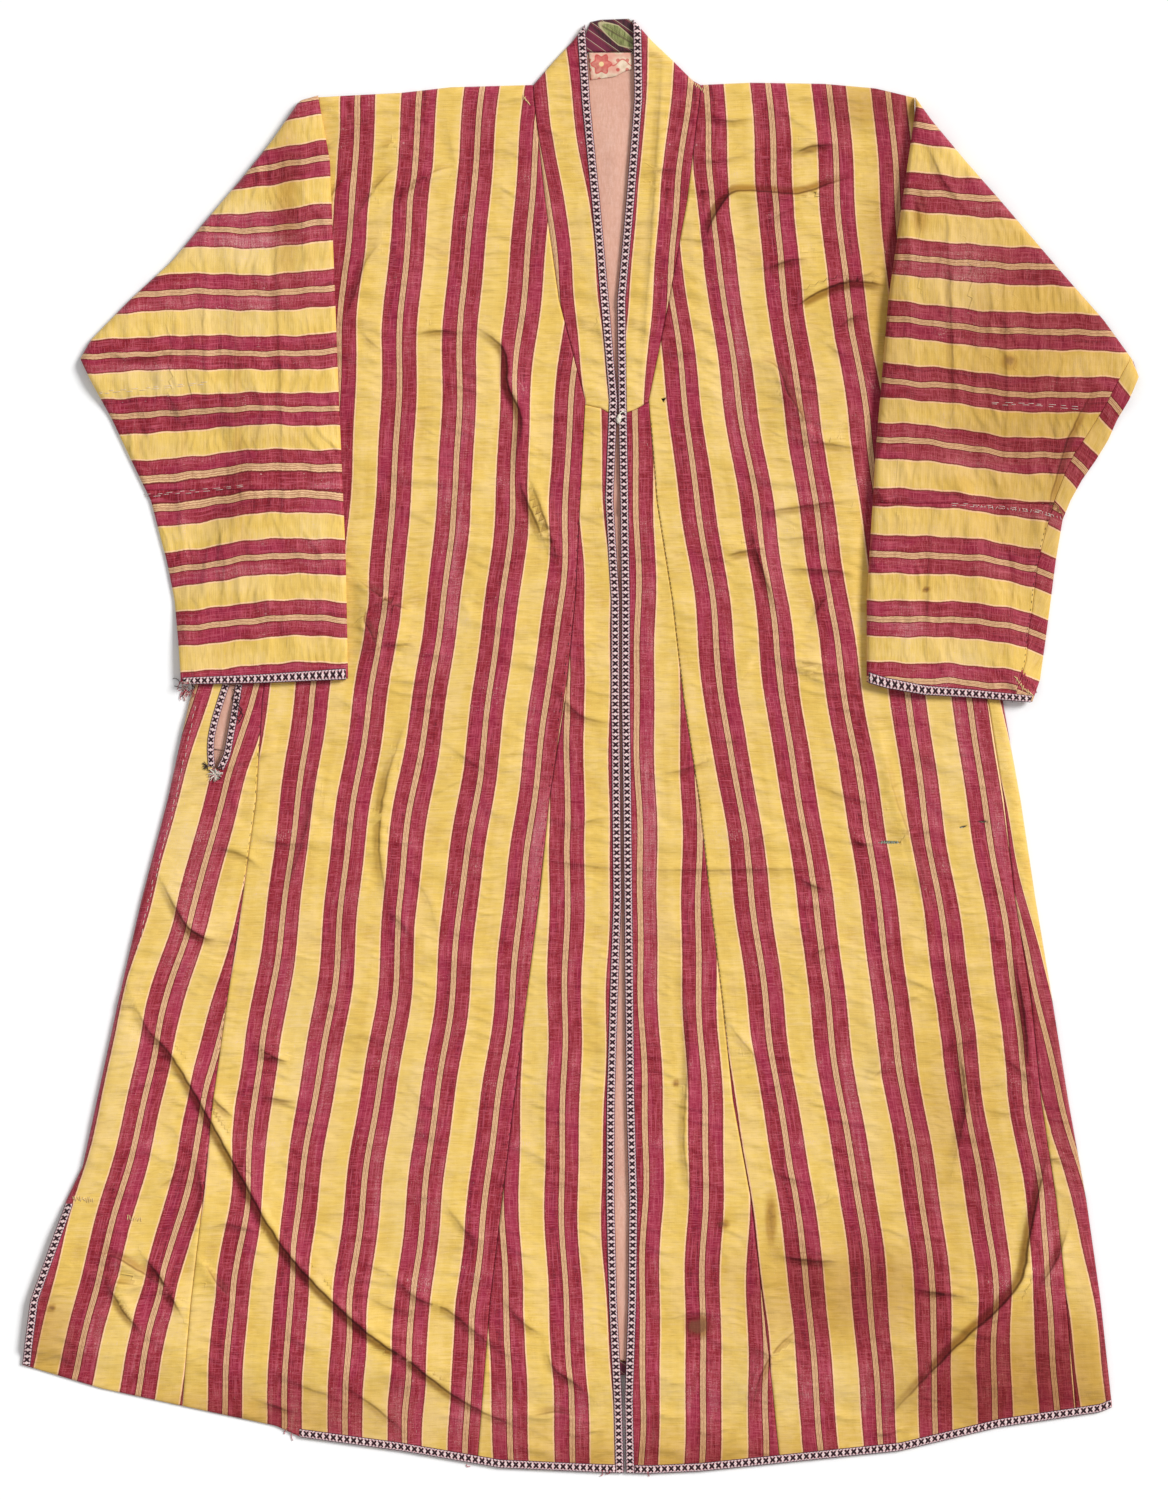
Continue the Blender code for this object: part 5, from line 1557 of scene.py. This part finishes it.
def sleeve_layer(side, c, r, crown, inset):
    """The upper and lower points of a sleeve's wall: its outside, or its inside at an inset."""
    x, y = sleeve_place(side, c, r)
    from_inner, from_outer = c * sleeve_width(side, r), (1.0 - c) * sleeve_width(side, r)
    from_fold = (1.0 - r) * sleeve_length(side, c)
    under = sleeve_under(side, x, y)
    full = CUFF_FULLNESS + (1.0 - CUFF_FULLNESS) * smooth(r / FULL_FROM)
    middle = np.sin(np.pi * np.clip(c, 0.0, 1.0) ** 0.7) ** 0.8
    rise = SLEEVE_CROWN[side] * middle * full * (1.0 - 0.7 * between((FLATTER_FROM, 1.0), r))
    rise += SLEEVE_EDGE_RISE[side] * (1.0 - smooth(c / 0.6)) * (0.6 + 0.4 * full)
    half = 0.5 * (SLEEVE_HEIGHT + rise)

    def arch(distance):
        share = np.clip((distance - inset) / FOLD_RADIUS, 0.0, 1.0)
        return np.maximum(np.sqrt(1.0 - (1.0 - share) ** 2), LEAST_ARCH)

    arched = arch(from_inner) * arch(from_outer) * arch(from_fold)
    creased = SLEEVE_CREASE_GAIN * sum(crease(row, x, y) for row in SLEEVE_CREASES[side])
    creased = np.maximum(creased, DEEPEST_CREASE) * smooth(from_fold / CREASE_FREE["fold"])
    creased *= smooth(from_inner / CREASE_FREE["side"]) * smooth(from_outer / CREASE_FREE["side"])
    tall = np.maximum(half - inset, LEAST_WALL) * arched
    dip = SLEEVE_CLOTH * (1.0 - crown) if inset == 0.0 else 0.0
    return stacked(x, y, under + half + tall + creased - dip), stacked(x, y, under + half - tall + dip)


def sleeve_shares(side, columns, rows, sides, ends):
    """Shares across and up of a sleeve piece's grid, between its own edges."""
    column_share, column_offset, column_crown = columns
    row_share, row_offset, row_crown = (values[:, None] for values in rows)
    c, r = np.broadcast_arrays(column_share, row_share)
    counts = [max(len(share) - 8, 3) for share in (column_share, row_share)]
    for _ in range(SLEEVE_PASSES):
        width, length = sleeve_width(side, r), sleeve_length(side, c)
        start, end = sides[0](r), sides[1](r)
        offset = fitted(column_offset, (end - start) * width, counts[0])
        c = np.clip(start + column_share * (end - start) + offset / width, 0.0, 1.0)
        start, end = ends[0](c), ends[1](c)
        offset = fitted(row_offset, (end - start) * length, counts[1])
        r = np.clip(start + row_share * (end - start) + offset / length, 0.0, 1.0)
    return c, r, column_crown * row_crown


def join_share(side):
    """Share up a sleeve at which its crosswise join lies, for each share across."""
    shares, up = np.linspace(0.0, 1.0, 41), np.linspace(0.0, 1.0, 201)
    found = [np.interp(SLEEVE_JOIN[side], sleeve_place(side, np.full(up.shape, share), up)[1], up)
             for share in shares]
    return lambda c: np.interp(c, shares, found)


def strip_share():
    """Share across the right sleeve at which the underarm strip's seam lies, for each share up."""
    up, shares = np.linspace(0.0, 1.0, 101), np.linspace(0.0, 1.0, 201)
    found = []
    for share in up:
        x, y = sleeve_place("right", shares, np.full(shares.shape, share))
        found.append(np.interp(0.0, x - np.interp(y, *zip(*STRIP_SEAM)), shares))
    return lambda r: np.interp(r, up, found)


def sleeve_piece(side, part, sides, ends, open_side, stripes):
    """One piece of a flattened sleeve, as a tube or as a channel open along one seam."""
    node, counts, closed_end = "sleeve_" + side + "_" + part, SLEEVE_STEPS[part], part != "lower"
    kinds = {None: ("fold", "fold"), "far": ("fold", "seam"), "near": ("seam", "fold")}[open_side]
    walls = []
    for inset in (0.0, SLEEVE_CLOTH):
        columns = lines(counts[0], *kinds, inset)
        rows = lines(counts[1], "seam", "fold" if closed_end else "seam", inset)
        c, r, crown = sleeve_shares(side, columns, rows, sides, ends)
        upper, lower = sleeve_layer(side, c, r, crown, inset)
        if open_side == "far":
            upper, lower = upper[:, ::-1], lower[:, ::-1]
        walls.append(np.concatenate([upper, lower[:, ::-1]], axis=1))
    outer, inner = walls
    made = shell(node + "_cloth", outer, inner, stripes(outer[..., 0], outer[..., 1]),
                 ("striped_cloth", "lining_cotton"), open_side is None, closed_end, SLEEVE_CREASES[side])
    stand_for(made, "striped_cloth", node)
    x, y, _ = np.moveaxis(outer[:, :outer.shape[1] // 2], -1, 0)
    size = (2.0 * (x.max(axis=1) - x.min(axis=1)).max(), y.max() - y.min())
    laid(made, size, 2.0 * flat_area(x, y), ["front_" + side + "_cloth"])


def sleeves():
    """Both sleeves, each an upper and a lower piece, and the strip under the right arm."""
    start, end, strip = level(0.0), level(1.0), strip_share()
    for side, far, open_side in (("left", end, None), ("right", strip, "far")):
        join = join_share(side)
        for part, ends in (("lower", (start, join)), ("upper", (join, end))):
            sleeve_piece(side, part, (start, far), ends, open_side, sleeve_stripes(side, part))
    sleeve_piece("right", "strip", (strip, end), (start, end), "near", strip_stripes)


def sleeve_roots():
    """The hidden back of each sleeve, between the armhole and the slanting fold."""
    for side, sign in zip(SIDES, (1.0, -1.0)):
        slanting = upright(SLEEVE_EDGES[side]["fold"], sign * ROOT_INSET)
        armhole = beside("side_" + side, -sign * HALF_GAP)
        sides = (slanting, armhole) if side == "left" else (armhole, slanting)
        stripes = straight_stripes(float(seam("side_" + side, ARMPIT_Y)) + 12.0)
        panel("sleeve_root_" + side, (*sides, raised_by(underarm(side), ROOT_RISE), level(ROOT_TOP)),
              flat_at(0.0), BACK_CLOTH, stripes, (7.0, 7.0), ("striped_cloth", "striped_cloth"), "floor")


# ================================ Braid ================================
def braid_strip(node, edges, across_robe=False):
    """Braid between four edges, lying on the front, with its pattern running along it."""
    x, y, crown = panel_grid(*edges, BRAID_STEP[::-1] if across_robe else BRAID_STEP)
    low = front_top(x, y) + BRAID_LIFT
    start, end = (edges[2](x), edges[3](x)) if across_robe else (edges[0](y), edges[1](y))
    width_way, length_way = (y, x) if across_robe else (x, y)
    place = stacked((width_way - start) / (end - start), length_way)
    made = shell(node + "_trim", stacked(x, y, low + BRAID_CLOTH * crown), stacked(x, y, low), place,
                 ("braid",))
    stand_for(made, "braid", node)
    return made


def cuff_braid(side):
    """Braid across the top of a folded cuff."""
    offsets, crown = (values[:, None] for values in np.array(CUFF_PROFILE).T)
    c = np.linspace(0.012, 0.988, 100)[None, :]
    r = np.clip(offsets / sleeve_length(side, 0.5), 0.0, 1.0)
    c, r = np.broadcast_arrays(c, r)
    upper, _ = sleeve_layer(side, c, r, 1.0, 0.0)
    upper[..., 1] += np.minimum(offsets, 0.0)
    low = upper + (0.0, 0.0, 0.1)
    top = upper + stacked(0.0, 0.0, 0.1 + BRAID_CLOTH * crown)
    place = stacked((offsets - offsets[0]) / (offsets[-1] - offsets[0]), upper[..., 0])
    made = shell("braid_cuff_" + side + "_trim", top, low, place, ("braid",))
    stand_for(made, "braid", "braid_cuff_" + side)
    return made


def braids():
    """Braid round the neck, down the fronts, along the hems and cuffs, and up the slit."""
    hem, made = raised_by(HEM), {}
    for side, sign in zip(SIDES, (-1.0, 1.0)):
        sides = sorted((0.0, sign * BRAID_WIDTH))
        sides = [beside("edge_" + side, offset) for offset in sides]
        end = raised_by(COLLAR_END[side])
        made["neck_" + side] = braid_strip("braid_neck_" + side, (*sides, end, raised_by(TOP_OUTLINE, -0.3)))
        made["front_" + side] = braid_strip("braid_front_" + side, (*sides, hem, end))
        made["cuff_" + side] = cuff_braid(side)
    for side, sides in (
        ("left", (level(HEM_BRAID_START), beside("edge_left", -BRAID_WIDTH - 0.1))),
        ("right", (beside("edge_right", BRAID_WIDTH + 0.1), beside("side_right", -0.6))),
    ):
        edges = (*sides, hem, raised_by(HEM, BRAID_WIDTH))
        made["hem_" + side] = braid_strip("braid_hem_" + side, edges, across_robe=True)
    slit = (beside("side_left", 0.2), beside("side_left", BRAID_WIDTH), raised_by(HEM, 1.0),
            level(SLIT_TOP))
    made["slit_left"] = braid_strip("braid_slit_left", slit)
    return made


# ================================ Pocket, tears and holes ================================
def cut_through(made, outlines):
    """Cuts these outlines right through a piece."""
    cutters = []
    for index, outline in enumerate(outlines):
        count = len(outline)
        points = [(x, y, z) for z in (-CUT_DEPTH, CUT_DEPTH) for x, y in outline]
        faces = [[start, (start + 1) % count, count + (start + 1) % count, count + start]
                 for start in range(count)]
        faces += [list(range(count))[::-1], list(range(count, 2 * count))]
        cutter = linked("cutter_" + str(index), to_frame(points), faces)
        modifier = made.modifiers.new("Cut", "BOOLEAN")
        modifier.operation = "DIFFERENCE"
        modifier.solver = "EXACT"
        modifier.object = cutter
        cutters.append(cutter)
    bpy.context.view_layer.update()
    graph = bpy.context.evaluated_depsgraph_get()
    cut = bpy.data.meshes.new_from_object(made.evaluated_get(graph), depsgraph=graph)
    made.modifiers.clear()
    made.data = cut
    for cutter in cutters:
        bpy.data.objects.remove(cutter)


def pointed(centre, tilt, half_width, half_height):
    """An oval outline with pointed ends, anticlockwise."""
    run = np.array((math.cos(tilt), math.sin(tilt)))
    rise = np.array((-run[1], run[0]))
    outline = []
    for turn in np.linspace(0.0, math.tau, 16, endpoint=False):
        high = math.sin(turn) * abs(math.sin(turn)) ** 0.4
        place = np.array(centre) + run * math.cos(turn) * half_width + rise * high * half_height
        outline.append(tuple(place))
    return outline


def ribbon(name, node, path, width, under, thickness, finish, steps):
    """A strip of cloth or braid that follows a path."""
    x, y = along(path, np.linspace(0.0, 1.0, steps))
    x, y = (np.convolve(np.pad(values, 4, "edge"), np.full(9, 1.0 / 9.0), "valid") for values in (x, y))
    reach = np.concatenate([[0.0], np.cumsum(np.hypot(np.diff(x), np.diff(y)))])[:, None]
    run_x, run_y = np.gradient(x), np.gradient(y)
    run = np.hypot(run_x, run_y)
    offset = np.linspace(-0.5, 0.5, len(RIBBON_CROWN))[None, :] * width
    x = x[:, None] - offset * (run_y / run)[:, None]
    y = y[:, None] + offset * (run_x / run)[:, None]
    low = under(x, y)
    made = shell(name, stacked(x, y, low + thickness * np.array(RIBBON_CROWN)), stacked(x, y, low),
                 stacked(offset / width + 0.5, reach), (finish,))
    stand_for(made, finish, node)
    return made


def pocket(gore):
    """Opens the pocket slit in a side gore, lines it, and trims both lips."""
    cut_through(gore, [[*POCKET_LIPS["outer"], *reversed(POCKET_LIPS["inner"])]])
    lips = [ribbon("braid_pocket_" + lip + "_trim", "braid_pocket_" + lip, path, POCKET_BRAID,
                   lambda x, y: front_top(x, y) + BRAID_LIFT, BRAID_CLOTH, "braid", 60)
            for lip, path in POCKET_LIPS.items()]
    middle = [tuple(np.mean(pair, axis=0)) for pair in zip(*POCKET_LIPS.values())][:-1]
    lining = ribbon("pocket_lining_cloth", "pocket_lining", middle, POCKET_WIDTH,
                    flat_at(FRONT_Z + 0.1), LINING_CLOTH, "lining_cotton", 30)
    length = float(np.hypot(*np.diff(np.array(middle), axis=0).T).sum())
    laid(lining, (POCKET_WIDTH, length), POCKET_WIDTH * length, ["lining_back_cloth"])
    return lips


def tears(front):
    """Cuts the tears and the moth hole in a front, and puts wadding under the tears and a dark patch of
    painted shadow under the moth hole.
    """
    outlines = [pointed(*tear) for tear in TEARS]
    cut_through(front, outlines + [list(MOTH_HOLE)[::-1]])
    patches = [(place, wide + 2.0, high + 2.4, "wadding") for place, _, wide, high in TEARS]
    patches.append((tuple(np.mean(MOTH_HOLE, axis=0)), 4.0, 4.0, "hole_shade"))
    for index, (place, wide, high, finish) in enumerate(patches):
        x, y = np.meshgrid(place[0] + np.linspace(-wide, wide, 9), place[1] + np.linspace(-high, high, 9))
        low = front_under(x, y) - PATCH_DROP
        made = shell("wadding_and_hole_shade_" + str(index), stacked(x, y, low + PATCH_THICKNESS), stacked(x, y, low),
                     stacked(x, y), (finish,))
        stand_for(made, "lining_cotton")


# ================================ Sewing and loose threads ================================
def tubes(name, paths, radius, finish, slot):
    """Round threads along paths of points, as one object."""
    sides = 5
    turns = np.arange(sides) * math.tau / sides
    ring = np.array([(math.cos(turn), math.sin(turn)) for turn in turns])
    points, faces = [], []
    for path in paths:
        path = np.array(path, float)
        run = np.gradient(path, axis=0)
        run /= np.maximum(np.linalg.norm(run, axis=1, keepdims=True), 1e-9)
        aside = np.cross(run, (0.0, 0.0, 1.0))
        size = np.linalg.norm(aside, axis=1, keepdims=True)
        aside = np.where(size > 1e-3, aside / np.maximum(size, 1e-9), (1.0, 0.0, 0.0))
        up = np.cross(aside, run)
        around = ring[:, :1] * aside[:, None] + ring[:, 1:] * up[:, None]
        index = len(points) + np.arange(len(path) * sides).reshape(-1, sides)
        points.extend((path[:, None] + radius * around).reshape(-1, 3))
        index = np.concatenate([index, index[:, :1]], axis=1)
        faces += ordered((index[:-1, :-1], index[:-1, 1:], index[1:, 1:], index[1:, :-1])).tolist()
        faces += [index[0, -2::-1].tolist(), index[-1, :-1].tolist()]
    made = linked(name, to_frame(points), faces, (finish,))
    made.data.shade_smooth()
    stand_for(made, slot)


class Sewing:
    """Stitches and loose threads of each kind, laid on whatever cloth lies uppermost."""

    def __init__(self):
        bpy.context.view_layer.update()
        self.graph = bpy.context.evaluated_depsgraph_get()
        self.random = np.random.default_rng(SEWING_SEED)
        self.paths = {kind: [] for kind in THREADS}

    def height(self, x, y):
        start = to_frame((x, y, ABOVE_ROBE)).tolist()
        hit, place, *_ = bpy.context.scene.ray_cast(self.graph, start, (0.0, 0.0, -1.0))
        return place.z / MM if hit else 0.0

    def lay(self, kind, places_x, places_y, lift):
        """One thread through these places, this far above the cloth at each."""
        self.paths[kind].append([(x, y, self.height(x, y) + above)
                                 for x, y, above in zip(places_x, places_y, lift)])

    def run(self, kind, path, length, gap, sway):
        """Short stitches in a line along a path."""
        total = float(np.hypot(*np.diff(np.array(path, float), axis=0).T).sum())
        place = 0.0
        while place < total - length:
            reach = length * self.random.uniform(0.7, 1.25)
            shares = np.array((place, place + 0.3 * reach, place + 0.7 * reach, place + reach)) / total
            x, y = along(path, np.clip(shares, 0.0, 1.0))
            x = x + self.random.normal(0.0, sway)
            y = y + self.random.normal(0.0, sway)
            self.lay(kind, x, y, (-0.1, 0.34, 0.34, -0.1))
            place += reach + gap * self.random.uniform(0.6, 1.5)

    def darn(self, kind, path, step, reach):
        """Stitches laid across a path."""
        total = float(np.hypot(*np.diff(np.array(path, float), axis=0).T).sum())
        for place in np.arange(0.0, total, step):
            x, y = along(path, place / total)
            turn = math.pi / 2 + self.random.normal(0.0, 0.5)
            ends = np.array((-1.0, -0.4, 0.4, 1.0)) * (reach * self.random.uniform(0.4, 1.0))
            self.lay(kind, x + ends * math.cos(turn), y + ends * math.sin(turn), (-0.1, 0.4, 0.4, -0.1))

    def loose(self, kind, start, turn, length, curl, points, lift):
        """A thread that wanders off from a place and lies on what is below it."""
        x, y = start
        path = []
        for _ in range(points):
            path.append((x, y, self.height(x, y) + lift))
            x += math.cos(turn) * length / points
            y += math.sin(turn) * length / points
            turn += self.random.normal(0.0, curl)
        self.paths[kind].append(path)


def sewing():
    """Running stitches, darns, frayed corners and loose threads."""
    work = Sewing()
    random = work.random
    for rise in (-0.9, 0.8):
        for mend in MENDS:
            work.run("fine", [(x, y + rise) for x, y in mend], 5.5, 4.5, 0.25)
    for darn in JOIN_DARNS:
        work.darn(*darn)
    for kind, name, offset, heights, *stitch in SEAM_STITCHES:
        work.run(kind, [(float(seam(name, y)) + offset, y) for y in heights], *stitch)
    work.run("seams", [(x - 1.2, y) for y, x in STRIP_SEAM[:9]], 2.0, 3.5, 0.1)
    for darn in CORNER_DARNS:
        work.darn(*darn)

    # The tuft of threads at the pocket's lower end.
    for index in range(54):
        turn = 2.399 * index + random.normal(0.0, 0.1)
        reach = random.uniform(5.0, 9.0)
        start = (-321.0 + random.normal(0.0, 0.7), -23.4 + random.normal(0.0, 0.7))
        kind = ("white", "white", "red", "dark", "green")[index % 5]
        work.loose(kind, start, turn, reach, 0.16, 5, 1.2)
    for index in range(9):
        work.loose("dark", (-328.0, -15.5), 2.2 + 0.35 * index, 5.5, 0.2, 5, 0.9)
    # The frayed corner of the left cuff.
    for index in range(34):
        start = (-349 + random.uniform(-3, 9), 58 + random.uniform(-9, 3))
        kind = ("red", "white", "dark", "red")[index % 4]
        work.loose(kind, start, random.uniform(2.6, 5.2), random.uniform(5, 12), 0.5, 7, 0.9)
    for loop in POCKET_LOOPS:
        work.lay("dark", *along(loop, np.linspace(0.0, 1.0, 15)), [0.5] * 15)
    for start, turn, length in HEM_THREADS:
        work.loose("red", start, turn, length, 0.35, 7, 0.5)
    for start, turn in TEAR_THREADS:
        work.loose("white", start, turn, 7.0, 0.3, 6, 0.3)
    for x in 265.0 + 2.2 * np.arange(7):
        below, above = work.height(x, -85.6), work.height(x, -80.4)
        work.paths["green"].append([(x, -84.4, below + 0.1), (x + 0.6, -83.0, below),
                                    (x + 1.0, -81.6, above + 0.1)])
    for kind, (radius, finish, slot) in THREADS.items():
        tubes("stitches_" + kind, work.paths[kind], radius, finish, slot)


def button():
    """A knot of cotton cord, with the end of its loop."""
    low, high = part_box("button")
    middle = np.array((low + high) / 2) / MM + ROBE_MIDDLE
    rings, sides, lean = 28, 36, 0.2
    points = []
    for ring in range(rings + 1):
        up = math.pi * ring / rings
        for side in range(sides):
            turn = math.tau * side / sides
            strand = 1.0 + 0.09 * math.sin(3.0 * turn + 7.0 * up) * math.sin(up)
            x = 0.5 * BUTTON_SIZE[0] * math.sin(up) * math.cos(turn) * strand
            y = 0.5 * BUTTON_SIZE[1] * math.cos(up) * (1.0 + 0.03 * math.sin(3.0 * turn))
            z = 0.5 * BUTTON_SIZE[2] * math.sin(up) * math.sin(turn) * strand
            points.append((middle[0] + x * math.cos(lean) + y * math.sin(lean),
                           middle[1] + y * math.cos(lean) - x * math.sin(lean), middle[2] + z))
    index = np.arange((rings + 1) * sides).reshape(rings + 1, sides)
    index = np.concatenate([index, index[:, :1]], axis=1)
    faces = ordered((index[:-1, :-1], index[1:, :-1], index[1:, 1:], index[:-1, 1:]))
    stand_for(piece("knot_button", points, faces, ("button_cord",)), "button_cord", "button")
    foot = middle - (0.0, 0.0, 0.5 * BUTTON_SIZE[2])
    tubes("button_loop", [foot + np.array(BUTTON_LOOP)], 0.55, "button_cord", "button_cord")


# ================================ Studio ================================
def studio():
    """The floor, the light and the camera."""
    scene = bpy.context.scene
    corners = [(x * FLOOR_REACH, y * FLOOR_REACH, FLOOR_HEIGHT)
               for x, y in ((-1, -1), (1, -1), (1, 1), (-1, 1))]
    linked("floor", corners, [(0, 1, 2, 3)], ("studio_floor",))

    world = bpy.data.worlds.new("studio")
    world.use_nodes = True
    background = world.node_tree.nodes["Background"]
    background.inputs["Color"].default_value = (1.0, 1.0, 1.0, 1.0)
    background.inputs["Strength"].default_value = SKY_STRENGTH
    scene.world = world

    for name, energy, softness, tilt in SUNS:
        sun = bpy.data.lights.new(name, "SUN")
        sun.energy = energy
        sun.angle = math.radians(softness)
        lamp = bpy.data.objects.new(name, sun)
        lamp.rotation_euler = (math.radians(tilt[0]), math.radians(tilt[1]), 0.0)
        scene.collection.objects.link(lamp)

    camera = bpy.data.cameras.new("camera")
    camera.sensor_width = LENS * PICTURE_LONG_SIDE / EYE_DISTANCE
    camera.lens = LENS
    camera.clip_end = 20.0
    eye = bpy.data.objects.new("camera", camera)
    eye.location = (*EYE_PLACE, EYE_DISTANCE + EYE_RISE)
    scene.collection.objects.link(eye)
    scene.camera = eye
    scene.view_settings.view_transform = "Standard"


def main():
    for old in list(bpy.data.objects):
        bpy.data.objects.remove(old)
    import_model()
    for make in (striped_cloth, lining_cotton, dark_silk, printed_cotton, braid):
        FINISH[make.__name__] = make()
    for name, row in THREAD_COLOURS.items():
        FINISH[name] = thread(name, *row)
    FINISH["studio_floor"] = floor_paint()
    backs()
    sleeve_roots()
    neck_and_lining()
    cloth = fronts()
    trims = braids()
    lips = pocket(cloth["side_gore_left"])
    tears(cloth["front_right"])
    sleeves()
    button()
    sewing()
    studio()
    sewn_on = {"side_gore_left_cloth": [trims["slit_left"], *lips]}
    for side in SIDES:
        for cloth_name, trim in (("front_insert_", "front_"), ("collar_", "neck_"), ("front_", "hem_")):
            sewn_on[cloth_name + side + "_cloth"] = [trims[trim + side]]
        sewn_on["sleeve_" + side + "_lower_cloth"] = [trims["cuff_" + side]]
    declare_sheets(sewn_on)


main()
